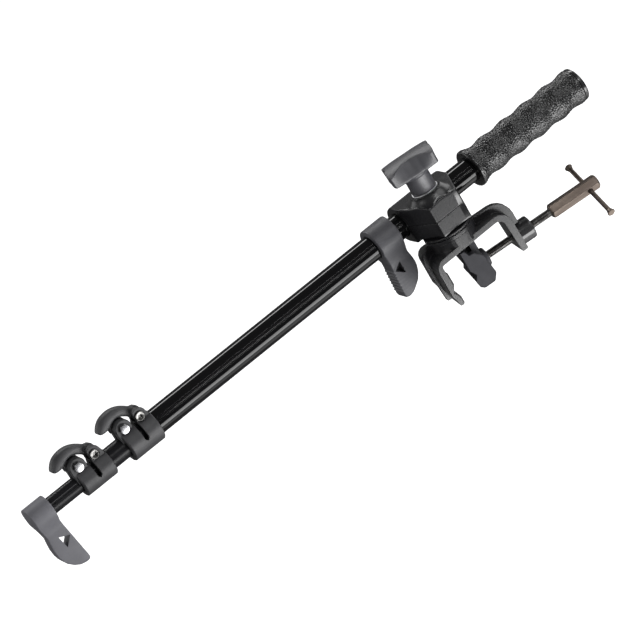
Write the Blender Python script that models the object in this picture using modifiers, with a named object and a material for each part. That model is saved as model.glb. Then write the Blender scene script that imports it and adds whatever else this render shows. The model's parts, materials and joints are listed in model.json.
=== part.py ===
"""Telescopic boom arm with a swivel grip head on a screw clamp, built in Blender.

World frame, in metres: the origin is on the fixed jaw's gripping land, +X runs along the
clamp screw away from that jaw, +Z runs up the swivel's axis and -Y faces the viewer.
The boom is built in its own frame, turned about the swivel.
"""

import math

import bmesh
import bpy
import numpy as np
from mathutils import Matrix, Vector

MM = 0.001
GAP = 0.3
WELD_DISTANCE = 0.000005
OBJECT_NAME = "boom_arm_with_clamp"

# Clamp frame: side profile in X and Z, widths in Y
PLATE_TOP_Z = 17.2
PLATE_UNDERSIDE_Z = 11.8
JAW_HALF_WIDTH = 30.0
ARM_HALF_WIDTH = 14.0
TAPER_START_X = -4.8
TAPER_END_X = 67.2
FIXED_ARM_OUTER_X = -6.8
SCREW_ARM_INNER_X = 72.2
SCREW_ARM_OUTER_X = 79.4
SCREW_ARM_END_Z = -27.5
JAW_END_Z = -30.6
RIB_HALF_WIDTH = 3.0
RIB_TOP_Z = 24.6
RIB_FIXED_X = -10.4
RIB_SCREW_X = 86.0
PAD_THICKNESS = 0.8
PAD_HALF_WIDTH = 28.5
V_DEPTH = 3.6
V_TOP_Z = -9.4
V_MIDDLE_Z = -16.0
V_BOTTOM_Z = -22.8

# Swivel between the clamp and the grip head
SWIVEL_X = 26.1
SWIVEL_TURN = math.radians(12.0)
BOSS_RADIUS = 24.4
BOSS_TOP_Z = 25.0
ROSETTE_RADIUS = 24.6
ROSETTE_TEETH = 48
TOOTH_DEPTH = 0.4
STUD_RADIUS = 5.0
STUD_TOP_Z = 93.0

# Clamp screw
SCREW_Z = V_MIDDLE_Z
SCREW_RADIUS = 4.0
SCREW_BOSS_RADIUS = 11.5
SCREW_BOSS_END_X = 95.2
SCREW_TIP_X = 33.6
BARREL_START_X = 117.2
BARREL_END_X = 171.2
BARREL_ACROSS_FLATS = 13.0
BARREL_SOCKET_DEPTH = 14.0
TOMMY_X = 159.7
TOMMY_RADIUS = 2.25
TOMMY_NEAR_LENGTH = 42.0
TOMMY_FAR_LENGTH = 33.0
TOMMY_CAP_LENGTH = 5.0
TOMMY_TILT = math.radians(27.7)

# Moving jaw
MOVING_JAW_X = 21.8
MOVING_JAW_PIVOT_X = 30.0
MOVING_JAW_TURN = math.radians(-5.0)
MOVING_HALF_WIDTH = 24.0
NECK_HALF_WIDTH = 14.0

# Grip head, in the arm frame: x along the boom, origin on the swivel axis at the boom's height
FRAME_HEIGHT = 48.0
BOOM_Y = 31.0
HEAD_PLAN = ((-26.5, 50.0), (-26.5, 16.0), (-14.8, -21.0), (18.6, -21.0), (34.0, 16.0), (34.0, 50.0))
HEAD_HOUSING_RADIUS = 19.0
HEAD_FRONT_TOP_Z = 16.0
HEAD_COLLAR_RADIUS = 15.0
HEAD_COLLAR_Z = 24.7
HEAD_BOTTOM_Z = -16.2
HEAD_BOTTOM_RADIUS = 25.4
PARTING_GAP = 0.15

# Knob above the head, in the arm frame
KNOB_TURN = math.radians(-13.0)
WASHER_RADIUS = 13.2
WASHER_HEIGHT = 0.9
KNOB_NECK_RADIUS = 12.2
KNOB_BOTTOM_Z = 43.0
KNOB_TOP_Z = 58.5
KNOB_CROWN = 6.0
KNOB_LOBES = ((0.0, 22.5), (16.0, 25.2), (36.0, 28.5), (52.0, 23.0), (68.0, 14.5), (90.0, 10.5))

# Tubes: outer radii, walls and lengths, in the boom frame with x from the swivel axis
MAIN_RADIUS = 12.5
MAIN_WALL = 1.1
MIDDLE_RADIUS = 10.4
MIDDLE_WALL = 1.0
INNER_RADIUS = 8.4
INNER_WALL = 1.0
GROOVE_DEPTH = 0.4
GROOVE_HALF_ANGLE = math.radians(7.0)
GROOVE_ANGLE = math.radians(156.0)
MAIN_RIGHT_X = 196.5
MIDDLE_RIGHT_X = 170.0
INNER_RIGHT_X = 150.0
BUSH_LENGTH = 9.0

# Flip locks
LOCK_SLOT_WIDTH = 4.4
LOCK_LENGTH = 34.6
LOCK_HALF_LENGTH_LEFT = 17.6
LOCK_2_SLOT_X = -345.0
LOCK_1_SLOT_X = -399.0
LOCK_2_RADIUS = 16.7
LOCK_1_RADIUS = 14.6
LOCK_2_EAR_Z = 17.6
LOCK_1_EAR_Z = 16.4
EAR_LEFT_DX = -11.5
EAR_RIGHT_DX = 7.0
EAR_RADIUS = 8.0
EAR_HALF_WIDTH = 9.0
LEVER_HALF_WIDTH = 6.4
LEVER_HUB_HALF_WIDTH = 3.2
PIN_RADIUS = 2.5
HUB_RADIUS = 3.7

# Grip
GRIP_LEFT_X = 61.7
GRIP_RIGHT_X = 196.5
GRIP_WAVES = 5
GRIP_RADIUS = 16.9
GRIP_WAVE = 0.9

# Hooks
END_HOOK_LEFT_X = -472.8
END_HOOK_RIGHT_X = -450.3
END_HOOK_RADIUS = 12.8
END_HOOK_THICKNESS = 12.0
SLIDING_HOOK_LEFT_X = -62.0
SLIDING_HOOK_RIGHT_X = -37.0
SLIDING_HOOK_RADIUS = 18.0
SLIDING_HOOK_THICKNESS = 18.0

PARTS = {}


def clear_scene():
    """Remove what the scene holds."""
    for obj in list(bpy.data.objects):
        bpy.data.objects.remove(obj)


def make_collections():
    """A collection for the pieces and another for the cutters."""
    for key, name in (("parts", OBJECT_NAME), ("cutters", "cutters")):
        collection = bpy.data.collections.new(name)
        bpy.context.scene.collection.children.link(collection)
        PARTS[key] = collection


def make_material(name, colour, roughness, metallic):
    """A Principled material."""
    material = bpy.data.materials.new(name)
    material.use_nodes = True
    shader = material.node_tree.nodes["Principled BSDF"]
    shader.inputs["Base Color"].default_value = (*colour, 1.0)
    shader.inputs["Roughness"].default_value = roughness
    shader.inputs["Metallic"].default_value = metallic
    return material


def frame_empty(name, parent, location, turn=0.0):
    """An empty that carries the pieces of one body."""
    empty = bpy.data.objects.new(name, None)
    PARTS["parts"].objects.link(empty)
    empty.parent = parent
    empty.location = Vector(location) * MM
    empty.rotation_euler = (0.0, 0.0, turn)
    return empty


def add_object(name, mesh, parent, material, smooth=30.0):
    """Put a mesh in the parts' collection, shaded smooth up to the given angle."""
    obj = bpy.data.objects.new(name, mesh)
    PARTS["parts"].objects.link(obj)
    obj.parent = parent
    mesh.materials.append(material)
    mesh.shade_smooth()
    mesh.set_sharp_from_angle(angle=math.radians(smooth))
    return obj


def mesh_of(name, vertices, faces):
    """A mesh in metres from points in millimetres."""
    mesh = bpy.data.meshes.new(name)
    mesh.from_pydata([tuple(float(c) * MM for c in point) for point in vertices], [], faces)
    mesh.update()
    return mesh


def finish_bmesh(name, bm):
    """Turn a bmesh in millimetres into a mesh in metres."""
    bmesh.ops.scale(bm, vec=(MM, MM, MM), verts=bm.verts)
    bmesh.ops.recalc_face_normals(bm, faces=bm.faces)
    mesh = bpy.data.meshes.new(name)
    bm.to_mesh(mesh)
    bm.free()
    return mesh


def box_mesh(name, low, high):
    """A box between two corners."""
    low, high = Vector(low), Vector(high)
    bm = bmesh.new()
    bmesh.ops.create_cube(bm, size=1.0)
    bmesh.ops.scale(bm, vec=high - low, verts=bm.verts)
    bmesh.ops.translate(bm, vec=(low + high) / 2, verts=bm.verts)
    return finish_bmesh(name, bm)


def rod_mesh(name, start, end, radius, end_radius=None, segments=24, phase=0.0):
    """A capped cylinder or cone between two points; phase turns its facets about the axis."""
    start, end = Vector(start), Vector(end)
    bm = bmesh.new()
    bmesh.ops.create_cone(bm, cap_ends=True, segments=segments, radius1=radius,
                          radius2=radius if end_radius is None else end_radius,
                          depth=(end - start).length)
    turn = (end - start).to_track_quat("Z", "Y").to_matrix().to_4x4() @ Matrix.Rotation(phase, 4, "Z")
    bmesh.ops.transform(bm, matrix=Matrix.Translation((start + end) / 2) @ turn, verts=bm.verts)
    return finish_bmesh(name, bm)


def turned_mesh(name, profile, start, direction, segments=32):
    """A turned solid: (radius, distance) points along an axis, from one pole to the other."""
    guide = bpy.data.meshes.new(name)
    points = [(radius * MM, 0.0, distance * MM) for radius, distance in reversed(profile)]
    edges = [(i, i + 1) for i in range(len(points) - 1)]
    guide.from_pydata(points, edges, [])
    obj = bpy.data.objects.new(name, guide)
    PARTS["parts"].objects.link(obj)
    screw = obj.modifiers.new("Screw", "SCREW")
    screw.steps = segments
    screw.render_steps = segments
    screw.use_merge_vertices = True
    screw.merge_threshold = 0.00001
    screw.use_smooth_shade = True
    mesh = evaluated_mesh(obj)
    bpy.data.objects.remove(obj)
    turn = Vector(direction).to_track_quat("Z", "Y").to_matrix().to_4x4()
    mesh.transform(Matrix.Translation(Vector(start) * MM) @ turn)
    return mesh


def evaluated_mesh(obj):
    """The mesh of an object with its modifiers applied and its doubles merged."""
    graph = bpy.context.evaluated_depsgraph_get()
    mesh = bpy.data.meshes.new_from_object(obj.evaluated_get(graph))
    bm = bmesh.new()
    bm.from_mesh(mesh)
    bmesh.ops.remove_doubles(bm, verts=bm.verts, dist=0.000002)
    bmesh.ops.recalc_face_normals(bm, faces=bm.faces)
    bm.to_mesh(mesh)
    bm.free()
    return mesh


PLANES = {
    "XZ": Matrix.Rotation(math.radians(90), 4, "X"),
    "YZ": Matrix.Rotation(math.radians(90), 4, "Z") @ Matrix.Rotation(math.radians(90), 4, "X"),
    "XY": Matrix.Identity(4),
}


def plate_mesh(name, outline, plane, middle, half_thickness, holes=()):
    """A flat outline of a plane given thickness about middle, the plane's place on its normal."""
    curve = bpy.data.curves.new(name, "CURVE")
    curve.dimensions = "2D"
    curve.fill_mode = "BOTH"
    curve.extrude = half_thickness * MM
    for loop in (outline, *holes):
        spline = curve.splines.new("POLY")
        spline.points.add(len(loop) - 1)
        for point, (u, v) in zip(spline.points, loop):
            point.co = (u * MM, v * MM, 0.0, 1.0)
        spline.use_cyclic_u = True
    obj = bpy.data.objects.new(name, curve)
    PARTS["parts"].objects.link(obj)
    mesh = evaluated_mesh(obj)
    bpy.data.objects.remove(obj)
    normal = Vector({"XZ": (0, 1, 0), "YZ": (1, 0, 0), "XY": (0, 0, 1)}[plane])
    mesh.transform(Matrix.Translation(normal * middle * MM) @ PLANES[plane])
    return mesh


def filleted(corners, steps=5):
    """An outline from (u, v, radius) corners, each rounded by an arc of its radius."""
    points = []
    count = len(corners)
    for i, (u, v, radius) in enumerate(corners):
        here = Vector((u, v))
        if radius == 0:
            points.append((u, v))
            continue
        back = (Vector(corners[i - 1][:2]) - here).normalized()
        ahead = (Vector(corners[(i + 1) % count][:2]) - here).normalized()
        half = back.angle(ahead) / 2
        centre = here + (back + ahead).normalized() * (radius / math.sin(half))
        first = here + back * (radius / math.tan(half)) - centre
        last = here + ahead * (radius / math.tan(half)) - centre
        sweep = first.angle_signed(last)
        for k in range(steps + 1):
            turned = first.copy()
            turned.rotate(Matrix.Rotation(-sweep * k / steps, 2))
            points.append(tuple(centre + turned))
    return points


def boolean(target, mesh, operation, name):
    """Cut, join or intersect a piece with a mesh that shares its parent."""
    cutter = bpy.data.objects.new(f"{target.name}_{name}", mesh)
    PARTS["cutters"].objects.link(cutter)
    cutter.parent = target.parent
    cutter.location = target.location
    cutter.hide_render = True
    cutter.display_type = "WIRE"
    modifier = target.modifiers.new(name, "BOOLEAN")
    modifier.operation = operation
    modifier.object = cutter
    modifier.solver = "EXACT"
    weld = target.modifiers.new(f"{name}_weld", "WELD")
    weld.merge_threshold = WELD_DISTANCE


def cut(target, mesh, name):
    """Cut a mesh out of a piece."""
    boolean(target, mesh, "DIFFERENCE", name)


def join(target, mesh, name):
    """Unite a mesh with a piece."""
    boolean(target, mesh, "UNION", name)


def bevel(target, width, segments=2, angle=40.0):
    """Round a piece's sharp edges."""
    modifier = target.modifiers.new("Bevel", "BEVEL")
    modifier.width = width * MM
    modifier.segments = segments
    modifier.limit_method = "ANGLE"
    modifier.angle_limit = math.radians(angle)
    modifier.use_clamp_overlap = True


def regular_loop(radius, count, phase=0.0):
    """Points of a regular polygon."""
    angles = [phase + 2 * math.pi * k / count for k in range(count)]
    return [(radius * math.cos(a), radius * math.sin(a)) for a in angles]


def jaw_land(offset):
    """The V-shaped gripping line of the fixed jaw, set back by offset, from top to bottom."""
    return [(-offset, V_TOP_Z), (-offset - V_DEPTH, V_MIDDLE_Z), (-offset, V_BOTTOM_Z)]


def build_clamp_frame(root, material):
    """The cast frame: a tapered plate bent into a C, a central rib, two bosses and the V jaw."""
    land = PAD_THICKNESS + GAP
    side = filleted([
        (-5.2, JAW_END_Z - 0.6, 0.8), (-5.6, -26.1, 4.0), (FIXED_ARM_OUTER_X - 0.6, -19.6, 6.0),
        (FIXED_ARM_OUTER_X, PLATE_TOP_Z, 10.0),
        (SCREW_ARM_OUTER_X, PLATE_TOP_Z, 13.0), (80.2, SCREW_ARM_END_Z, 1.5),
        (73.7, SCREW_ARM_END_Z, 1.5), (SCREW_ARM_INNER_X, PLATE_UNDERSIDE_Z, 7.5),
        (-land, PLATE_UNDERSIDE_Z, 2.0)], steps=4)
    side += jaw_land(land) + [(-land, JAW_END_Z - 0.6)]
    frame = add_object("clamp_frame", plate_mesh("side", side, "XZ", 0.0, JAW_HALF_WIDTH + 4), root, material)
    half = [(-20.0, JAW_HALF_WIDTH, 0.0), (TAPER_START_X, JAW_HALF_WIDTH, 4.0),
            (TAPER_END_X, ARM_HALF_WIDTH, 8.0), (100.0, ARM_HALF_WIDTH, 0.0)]
    mirrored = [(x, -y, radius) for x, y, radius in reversed(half)]
    plan = filleted(half + mirrored, steps=3)
    boolean(frame, plate_mesh("plan", plan, "XY", 0.0, 60.0), "INTERSECT", "taper")
    rib = filleted([
        (RIB_FIXED_X + 1.4, JAW_END_Z - 0.2, 1.0), (RIB_FIXED_X, 0.0, 0.0), (RIB_FIXED_X, RIB_TOP_Z, 13.0),
        (RIB_SCREW_X, RIB_TOP_Z, 18.0), (RIB_SCREW_X, SCREW_ARM_END_Z + 1, 2.0),
        (76.5, SCREW_ARM_END_Z + 1, 0.0), (76.0, 14.0, 6.0), (-5.5, 14.0, 4.0), (-5.2, -16.0, 0.0),
        (-3.9, JAW_END_Z - 0.2, 0.0)], steps=5)
    join(frame, plate_mesh("rib", rib, "XZ", 0.0, RIB_HALF_WIDTH), "rib")
    join(frame, rod_mesh("boss", (SWIVEL_X, 0, 14), (SWIVEL_X, 0, BOSS_TOP_Z), BOSS_RADIUS, segments=40), "boss")
    boss = [(0.0, 0.0), (SCREW_BOSS_RADIUS, 0.0), (SCREW_BOSS_RADIUS, 17.2), (SCREW_BOSS_RADIUS - 0.6, 18.8),
            (SCREW_BOSS_RADIUS - 2.2, 19.4), (0.0, 19.4)]
    join(frame, turned_mesh("screw_boss", boss, (SCREW_BOSS_END_X - 19.4, 0, SCREW_Z), (1, 0, 0), 24), "screw_boss")
    cut(frame, rod_mesh("screw_hole", (65, 0, SCREW_Z), (100, 0, SCREW_Z), SCREW_RADIUS + 0.35), "screw_hole")
    cut(frame, rod_mesh("stud_hole", (SWIVEL_X, 0, 0), (SWIVEL_X, 0, 40), STUD_RADIUS + GAP), "stud_hole")


def build_fixed_jaw_pad(root, material):
    """The thin liner that follows the fixed jaw's V."""
    front = [(0.0, 3.0)] + jaw_land(0.0) + [(0.0, JAW_END_Z)]
    back = [(x - PAD_THICKNESS, z) for x, z in reversed(front)]
    add_object("fixed_jaw_pad", plate_mesh("pad", front + back, "XZ", 0.0, PAD_HALF_WIDTH), root, material)


def toothed_disc_mesh(name, low, high):
    """A disc with fine teeth round its rim and a hole for the stud."""
    teeth = []
    for k in range(ROSETTE_TEETH):
        for radius, share in ((ROSETTE_RADIUS, 0.0), (ROSETTE_RADIUS - TOOTH_DEPTH, 0.5)):
            angle = 2 * math.pi * (k + share) / ROSETTE_TEETH
            teeth.append((radius * math.cos(angle), radius * math.sin(angle)))
    hole = regular_loop(STUD_RADIUS + 0.5, 16)
    return plate_mesh(name, teeth, "XY", (low + high) / 2, (high - low) / 2, [hole])


def build_swivel(root, arm, steel, casting):
    """The clamp's toothed disc, the head's toothed disc and the stud that holds the knob."""
    lower = add_object("clamp_rosette", toothed_disc_mesh("rosette", BOSS_TOP_Z + GAP, 28.0), root, casting)
    lower.location = (SWIVEL_X * MM, 0.0, 0.0)
    add_object("head_rosette", toothed_disc_mesh("rosette", -19.7, HEAD_BOTTOM_Z - GAP), arm, casting)
    low = PLATE_UNDERSIDE_Z + GAP
    profile = [(0.0, low), (STUD_RADIUS - 0.5, low), (STUD_RADIUS, low + 0.5), (STUD_RADIUS, STUD_TOP_Z - 1.0),
               (STUD_RADIUS - 1.0, STUD_TOP_Z), (0.0, STUD_TOP_Z)]
    add_object("swivel_stud", turned_mesh("stud", profile, (SWIVEL_X, 0, 0), (0, 0, 1), 16), root, steel)


def turned_on_screw(mesh):
    """Turn a mesh of the moving jaw about the upright line on which it floats on the screw."""
    pivot = Matrix.Translation(Vector((MOVING_JAW_PIVOT_X, 0, 0)) * MM)
    mesh.transform(pivot @ Matrix.Rotation(MOVING_JAW_TURN, 4, "Z") @ pivot.inverted())
    return mesh


def build_moving_jaw(jaw, material):
    """The moving jaw: a wide V block, a neck that runs under the frame and a boss for the screw."""
    x = MOVING_JAW_X
    top = PLATE_UNDERSIDE_Z - GAP
    body = filleted([
        (x, top - 1.8, 0.6), (25.6, top - 1.8, 1.0), (28.4, 3.4, 1.0), (33.0, 3.4, 2.0), (40.0, -3.6, 2.0),
        (42.6, -24.6, 3.0), (37.8, -31.6, 2.0), (26.4, -32.2, 2.0), (x + 1.2, -29.4, 1.0),
        (x, -23.2, 0.0), (x + V_DEPTH, V_MIDDLE_Z - 0.6, 0.0), (x, -10.4, 0.0)], steps=2)
    block = turned_on_screw(plate_mesh("jaw", body, "XZ", 0.0, MOVING_HALF_WIDTH))
    obj = add_object("moving_jaw", block, jaw, material)
    bevel(obj, 0.8, 1, 60.0)
    neck = filleted([(x + 2.0, 0.0, 0.0), (40.2, 0.0, 0.0), (40.2, top, 0.8), (x + 2.0, top, 0.0)], steps=2)
    join(obj, turned_on_screw(plate_mesh("neck", neck, "XZ", 0.0, NECK_HALF_WIDTH)), "neck")
    boss = [(0.0, 0.0), (9.6, 0.0), (9.6, 7.6), (8.4, 8.8), (0.0, 8.8)]
    join(obj, turned_mesh("jaw_boss", boss, (36.1, 0, SCREW_Z), (1, 0, 0), 20), "boss")
    cut(obj, turned_on_screw(box_mesh("slot", (29.3, -16, -0.6), (33.6, 16, 14))), "slot")
    hole = SCREW_RADIUS + 0.35
    seat = [(0.0, 33.2), (hole, 33.2), (hole, 41.2), (6.9, 41.2), (6.9, 50.0), (0.0, 50.0)]
    cut(obj, turned_mesh("screw_seat", seat, (0, 0, SCREW_Z), (1, 0, 0), 20), "screw_seat")


def build_spindle(screw, steel, dark_steel):
    """The clamp screw with its retaining clip and its hexagonal barrel."""
    profile = [(0.0, SCREW_TIP_X), (SCREW_RADIUS - 1.2, SCREW_TIP_X), (SCREW_RADIUS, SCREW_TIP_X + 1.2),
               (SCREW_RADIUS, BARREL_START_X + BARREL_SOCKET_DEPTH - GAP),
               (0.0, BARREL_START_X + BARREL_SOCKET_DEPTH - GAP)]
    add_object("spindle", turned_mesh("spindle", profile, (0, 0, 0), (1, 0, 0), 20), screw, steel)
    ring = regular_loop(6.5, 16)
    hole = regular_loop(SCREW_RADIUS + GAP, 16)
    add_object("spindle_clip", plate_mesh("clip", ring, "YZ", 42.3, 0.7, [hole]), screw, steel)
    corner = BARREL_ACROSS_FLATS / 2 / math.cos(math.pi / 6)
    flat_turn = math.pi + TOMMY_TILT + math.pi / 6
    hexagon = regular_loop(corner, 6, flat_turn)
    middle = (BARREL_START_X + BARREL_END_X) / 2
    half = (BARREL_END_X - BARREL_START_X) / 2
    barrel = add_object("spindle_barrel", plate_mesh("barrel", hexagon, "YZ", middle, half), screw, dark_steel)
    end = [(0.0, BARREL_START_X - 0.1), (5.4, BARREL_START_X - 0.1), (7.9, BARREL_START_X + 2.2),
           (7.9, BARREL_END_X - 2.2), (5.4, BARREL_END_X + 0.1), (0.0, BARREL_END_X + 0.1)]
    boolean(barrel, turned_mesh("chamfer", end, (0, 0, 0), (1, 0, 0), 24), "INTERSECT", "chamfer")
    cut(barrel, rod_mesh("socket", (BARREL_START_X - 5, 0, 0), (BARREL_START_X + BARREL_SOCKET_DEPTH, 0, 0),
                         SCREW_RADIUS + GAP), "socket")
    along = tommy_axis() * 20
    place = Vector((TOMMY_X, 0, 0))
    cut(barrel, rod_mesh("tommy_hole", place - along, place + along, TOMMY_RADIUS + 0.3, segments=16), "tommy_hole")


def tommy_axis():
    """The tommy bar's direction, towards the viewer and down."""
    return Vector((0.0, -math.cos(TOMMY_TILT), -math.sin(TOMMY_TILT)))


def build_tommy_bar(bar, steel):
    """The sliding tommy bar and the flared caps on its two ends."""
    axis = tommy_axis()
    near = axis * (TOMMY_NEAR_LENGTH - TOMMY_CAP_LENGTH)
    far = -axis * (TOMMY_FAR_LENGTH - TOMMY_CAP_LENGTH)
    add_object("tommy_bar", rod_mesh("bar", far, near, TOMMY_RADIUS, segments=16), bar, steel)
    cap = [(0.0, 0.0), (2.5, 0.0), (3.3, 3.4), (3.9, 3.9), (3.9, TOMMY_CAP_LENGTH - 0.6),
           (3.3, TOMMY_CAP_LENGTH), (0.0, TOMMY_CAP_LENGTH)]
    for name, start, way in (("tommy_bar_end_near", near, axis), ("tommy_bar_end_far", far, -axis)):
        add_object(name, turned_mesh("cap", cap, start + way * GAP, way, 12), bar, steel)


def subdivided(outline, longest):
    """An outline with its long edges divided."""
    points = []
    for (u0, v0), (u1, v1) in zip(outline, outline[1:] + outline[:1]):
        steps = max(1, math.ceil(math.hypot(u1 - u0, v1 - v0) / longest))
        points += [(u0 + (u1 - u0) * k / steps, v0 + (v1 - v0) * k / steps) for k in range(steps)]
    return points


def smooth_step(value):
    """Rise from 0 to 1 with level ends."""
    value = np.clip(value, 0.0, 1.0)
    return value * value * (3 - 2 * value)


def housing_height(y):
    """Half height of the boom's housing: full up to the boom's axis, an arc behind it."""
    behind = np.clip((y - BOOM_Y) / (HEAD_HOUSING_RADIUS + 0.5), 0.0, 1.0)
    return HEAD_HOUSING_RADIUS * np.sqrt(1 - behind ** 2)


def head_top(x, y):
    """Height of the head's top: low in front, the housing behind, and a swell up to the knob."""
    slope = HEAD_FRONT_TOP_Z + (HEAD_HOUSING_RADIUS - HEAD_FRONT_TOP_Z) * np.clip((y + 21) / 37, 0, 1)
    base = np.minimum(slope, housing_height(y))
    away = np.clip(np.hypot(x, y) - HEAD_COLLAR_RADIUS, 0, None)
    return base + (HEAD_COLLAR_Z - base) * np.exp(-(away / 5.0) ** 2)


def head_underside(x, y):
    """Height of the head's underside: flat over the toothed disc, the housing's belly behind."""
    drop = (HEAD_HOUSING_RADIUS + HEAD_BOTTOM_Z) * smooth_step((np.hypot(x, y) - 25.5) / 7)
    return np.maximum(HEAD_BOTTOM_Z - drop, -housing_height(y))


def head_half_mesh(name, height, inner_radius, sign):
    """One half of the head: rings from its plan outline in to a circle about the swivel axis."""
    plan = np.array(subdivided(filleted([(*p, 2.0) for p in HEAD_PLAN], steps=2), 10.0))
    bearing = np.arctan2(plan[:, 1], plan[:, 0])
    reach = np.minimum(inner_radius, 0.9 * np.hypot(plan[:, 0], plan[:, 1]))
    circle = reach[:, None] * np.stack([np.cos(bearing), np.sin(bearing)], 1)
    edge = height(plan[:, 0], plan[:, 1])
    rings = [np.column_stack([plan, np.full(len(plan), sign * PARTING_GAP)]),
             np.column_stack([plan, edge - sign * 1.8])]
    for share in (0.035, 0.25, 0.5, 0.75, 1.0):
        flat = plan * (1 - share) + circle * share
        rounding = 0.5 if share < 0.1 else 0.0
        rings.append(np.column_stack([flat, height(flat[:, 0], flat[:, 1]) - sign * rounding]))
    return loft_mesh(name, rings)


def loft_mesh(name, rings):
    """A closed skin through rings of equal length, with flat ends."""
    count = len(rings[0])
    faces = [tuple(range(count)), tuple(range((len(rings) - 1) * count, len(rings) * count))]
    for r in range(len(rings) - 1):
        for k in range(count):
            after = (k + 1) % count
            low, high = r * count, (r + 1) * count
            faces.append((low + k, low + after, high + after, high + k))
    mesh = mesh_of(name, np.vstack(rings), faces)
    bm = bmesh.new()
    bm.from_mesh(mesh)
    bmesh.ops.recalc_face_normals(bm, faces=bm.faces)
    bm.to_mesh(mesh)
    bm.free()
    return mesh


def build_head(arm, material):
    """The two castings that close on the boom, bored for it and for the stud."""
    halves = (("head_upper_half", head_top, HEAD_COLLAR_RADIUS, 1), ("head_lower_half", head_underside,
                                                                     HEAD_BOTTOM_RADIUS, -1))
    for name, height, radius, sign in halves:
        half = add_object(name, head_half_mesh(name, height, radius, sign), arm, material, smooth=25.0)
        bore = rod_mesh("bore", (-60, BOOM_Y, 0), (60, BOOM_Y, 0), MAIN_RADIUS + GAP, segments=36)
        cut(half, bore, "bore")
        cut(half, rod_mesh("stud_hole", (0, 0, -40), (0, 0, 40), STUD_RADIUS + 0.5, segments=16), "stud_hole")


def knob_radius(angle):
    """Radius of the four-lobed outline, read smoothly between the points of one quarter."""
    quarter = abs(math.degrees(math.atan2(math.sin(angle), math.cos(angle))))
    quarter = min(quarter, 180 - quarter)
    for (a0, r0), (a1, r1) in zip(KNOB_LOBES, KNOB_LOBES[1:]):
        if quarter <= a1:
            share = (quarter - a0) / (a1 - a0)
            return r0 + (r1 - r0) * (1 - math.cos(math.pi * share)) / 2
    return KNOB_LOBES[-1][1]


def knob_head_mesh(name):
    """The knob's head: lobed rings with a waist that flares towards the neck, and a crowned top."""
    angles = np.linspace(0, 2 * math.pi, 44, endpoint=False)
    lobes = np.array([knob_radius(a) for a in angles])
    around = np.stack([np.cos(angles), np.sin(angles)], 1)
    base = np.maximum(lobes * 0.86, KNOB_NECK_RADIUS + 0.8)
    low = KNOB_BOTTOM_Z + 3.0 * smooth_step((lobes - 14) / 12)
    top = KNOB_TOP_Z + 1.5 * smooth_step((lobes - 14) / 12)
    levels = ((base * 0.5, KNOB_BOTTOM_Z), (base * 0.94, low), (np.maximum(base * 1.06, lobes * 0.98), low + 1.4),
              (np.maximum(lobes, base * 0.9), low * 0.45 + top * 0.55), (lobes * 0.99, top - 1.2),
              (lobes * 0.94, top))
    rings = [np.column_stack([around * radius[:, None], np.broadcast_to(z, radius.shape)])
             for radius, z in levels]
    for share in (0.75, 0.45, 0.15):
        crown = KNOB_TOP_Z + KNOB_CROWN * (1 - share ** 2)
        edge = share * 0.94
        blend = smooth_step((1 - share) / 0.4)
        rings.append(np.column_stack([around * (lobes * edge)[:, None], top * (1 - blend) + crown * blend]))
    return loft_mesh(name, rings)


def build_knob(lift, knob, plastic, steel):
    """The washer that rides on the knob's neck, the knob and its threaded insert."""
    ring = regular_loop(WASHER_RADIUS, 32)
    hole = regular_loop(STUD_RADIUS + 0.6, 16)
    middle = HEAD_COLLAR_Z + GAP + WASHER_HEIGHT / 2
    add_object("knob_washer", plate_mesh("washer", ring, "XY", middle, WASHER_HEIGHT / 2, [hole]), lift, steel)
    obj = add_object("knob", knob_head_mesh("knob"), knob, plastic, smooth=40.0)
    neck_low = HEAD_COLLAR_Z + WASHER_HEIGHT + 2 * GAP
    neck = [(0.0, neck_low), (KNOB_NECK_RADIUS - 0.8, neck_low), (KNOB_NECK_RADIUS, neck_low + 0.8),
            (KNOB_NECK_RADIUS, KNOB_BOTTOM_Z + 3), (0.0, KNOB_BOTTOM_Z + 3)]
    join(obj, turned_mesh("neck", neck, (0, 0, 0), (0, 0, 1), 32), "neck")
    cut(obj, rod_mesh("insert_hole", (0, 0, 0), (0, 0, 49), 8.0, segments=16), "insert_hole")
    insert = regular_loop(8.0 - GAP, 6)
    bore = regular_loop(STUD_RADIUS + 0.5, 16)
    add_object("knob_insert", plate_mesh("insert", insert, "XY", 37.5, 10.5, [bore]), knob, steel)


def tube_section(radius, groove):
    """A circle with a shallow flat groove on the viewer's side."""
    width = GROOVE_HALF_ANGLE
    angles = [width + (2 * math.pi - 2 * width) * k / 30 for k in range(31)]
    points = [(radius, a) for a in angles]
    if groove:
        points += [(radius - groove, -width * 0.75), (radius - groove, width * 0.75)]
    return [(r * math.cos(GROOVE_ANGLE + a), r * math.sin(GROOVE_ANGLE + a)) for r, a in points]


def build_tube(name, parent, material, radius, wall, groove, left, right):
    """A drawn tube along the boom."""
    outer = tube_section(radius, groove)
    bore = tube_section(radius - wall, groove)
    add_object(name, plate_mesh(name, outer, "YZ", (left + right) / 2, (right - left) / 2, [bore]),
               parent, material)


def build_bush(name, parent, material, tube_end, tube_bore, guide_radius, bore):
    """A guide bush on a tube's inner end: a spigot in the tube and a flange outside it."""
    profile = [(bore, -6.0), (tube_bore - GAP, -6.0), (tube_bore - GAP, GAP), (guide_radius, GAP),
               (guide_radius, BUSH_LENGTH - 0.6), (guide_radius - 0.6, BUSH_LENGTH), (bore, BUSH_LENGTH),
               (bore, -6.0)]
    add_object(name, turned_mesh(name, profile, (tube_end, 0, 0), (1, 0, 0), 14), parent, material)


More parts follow.
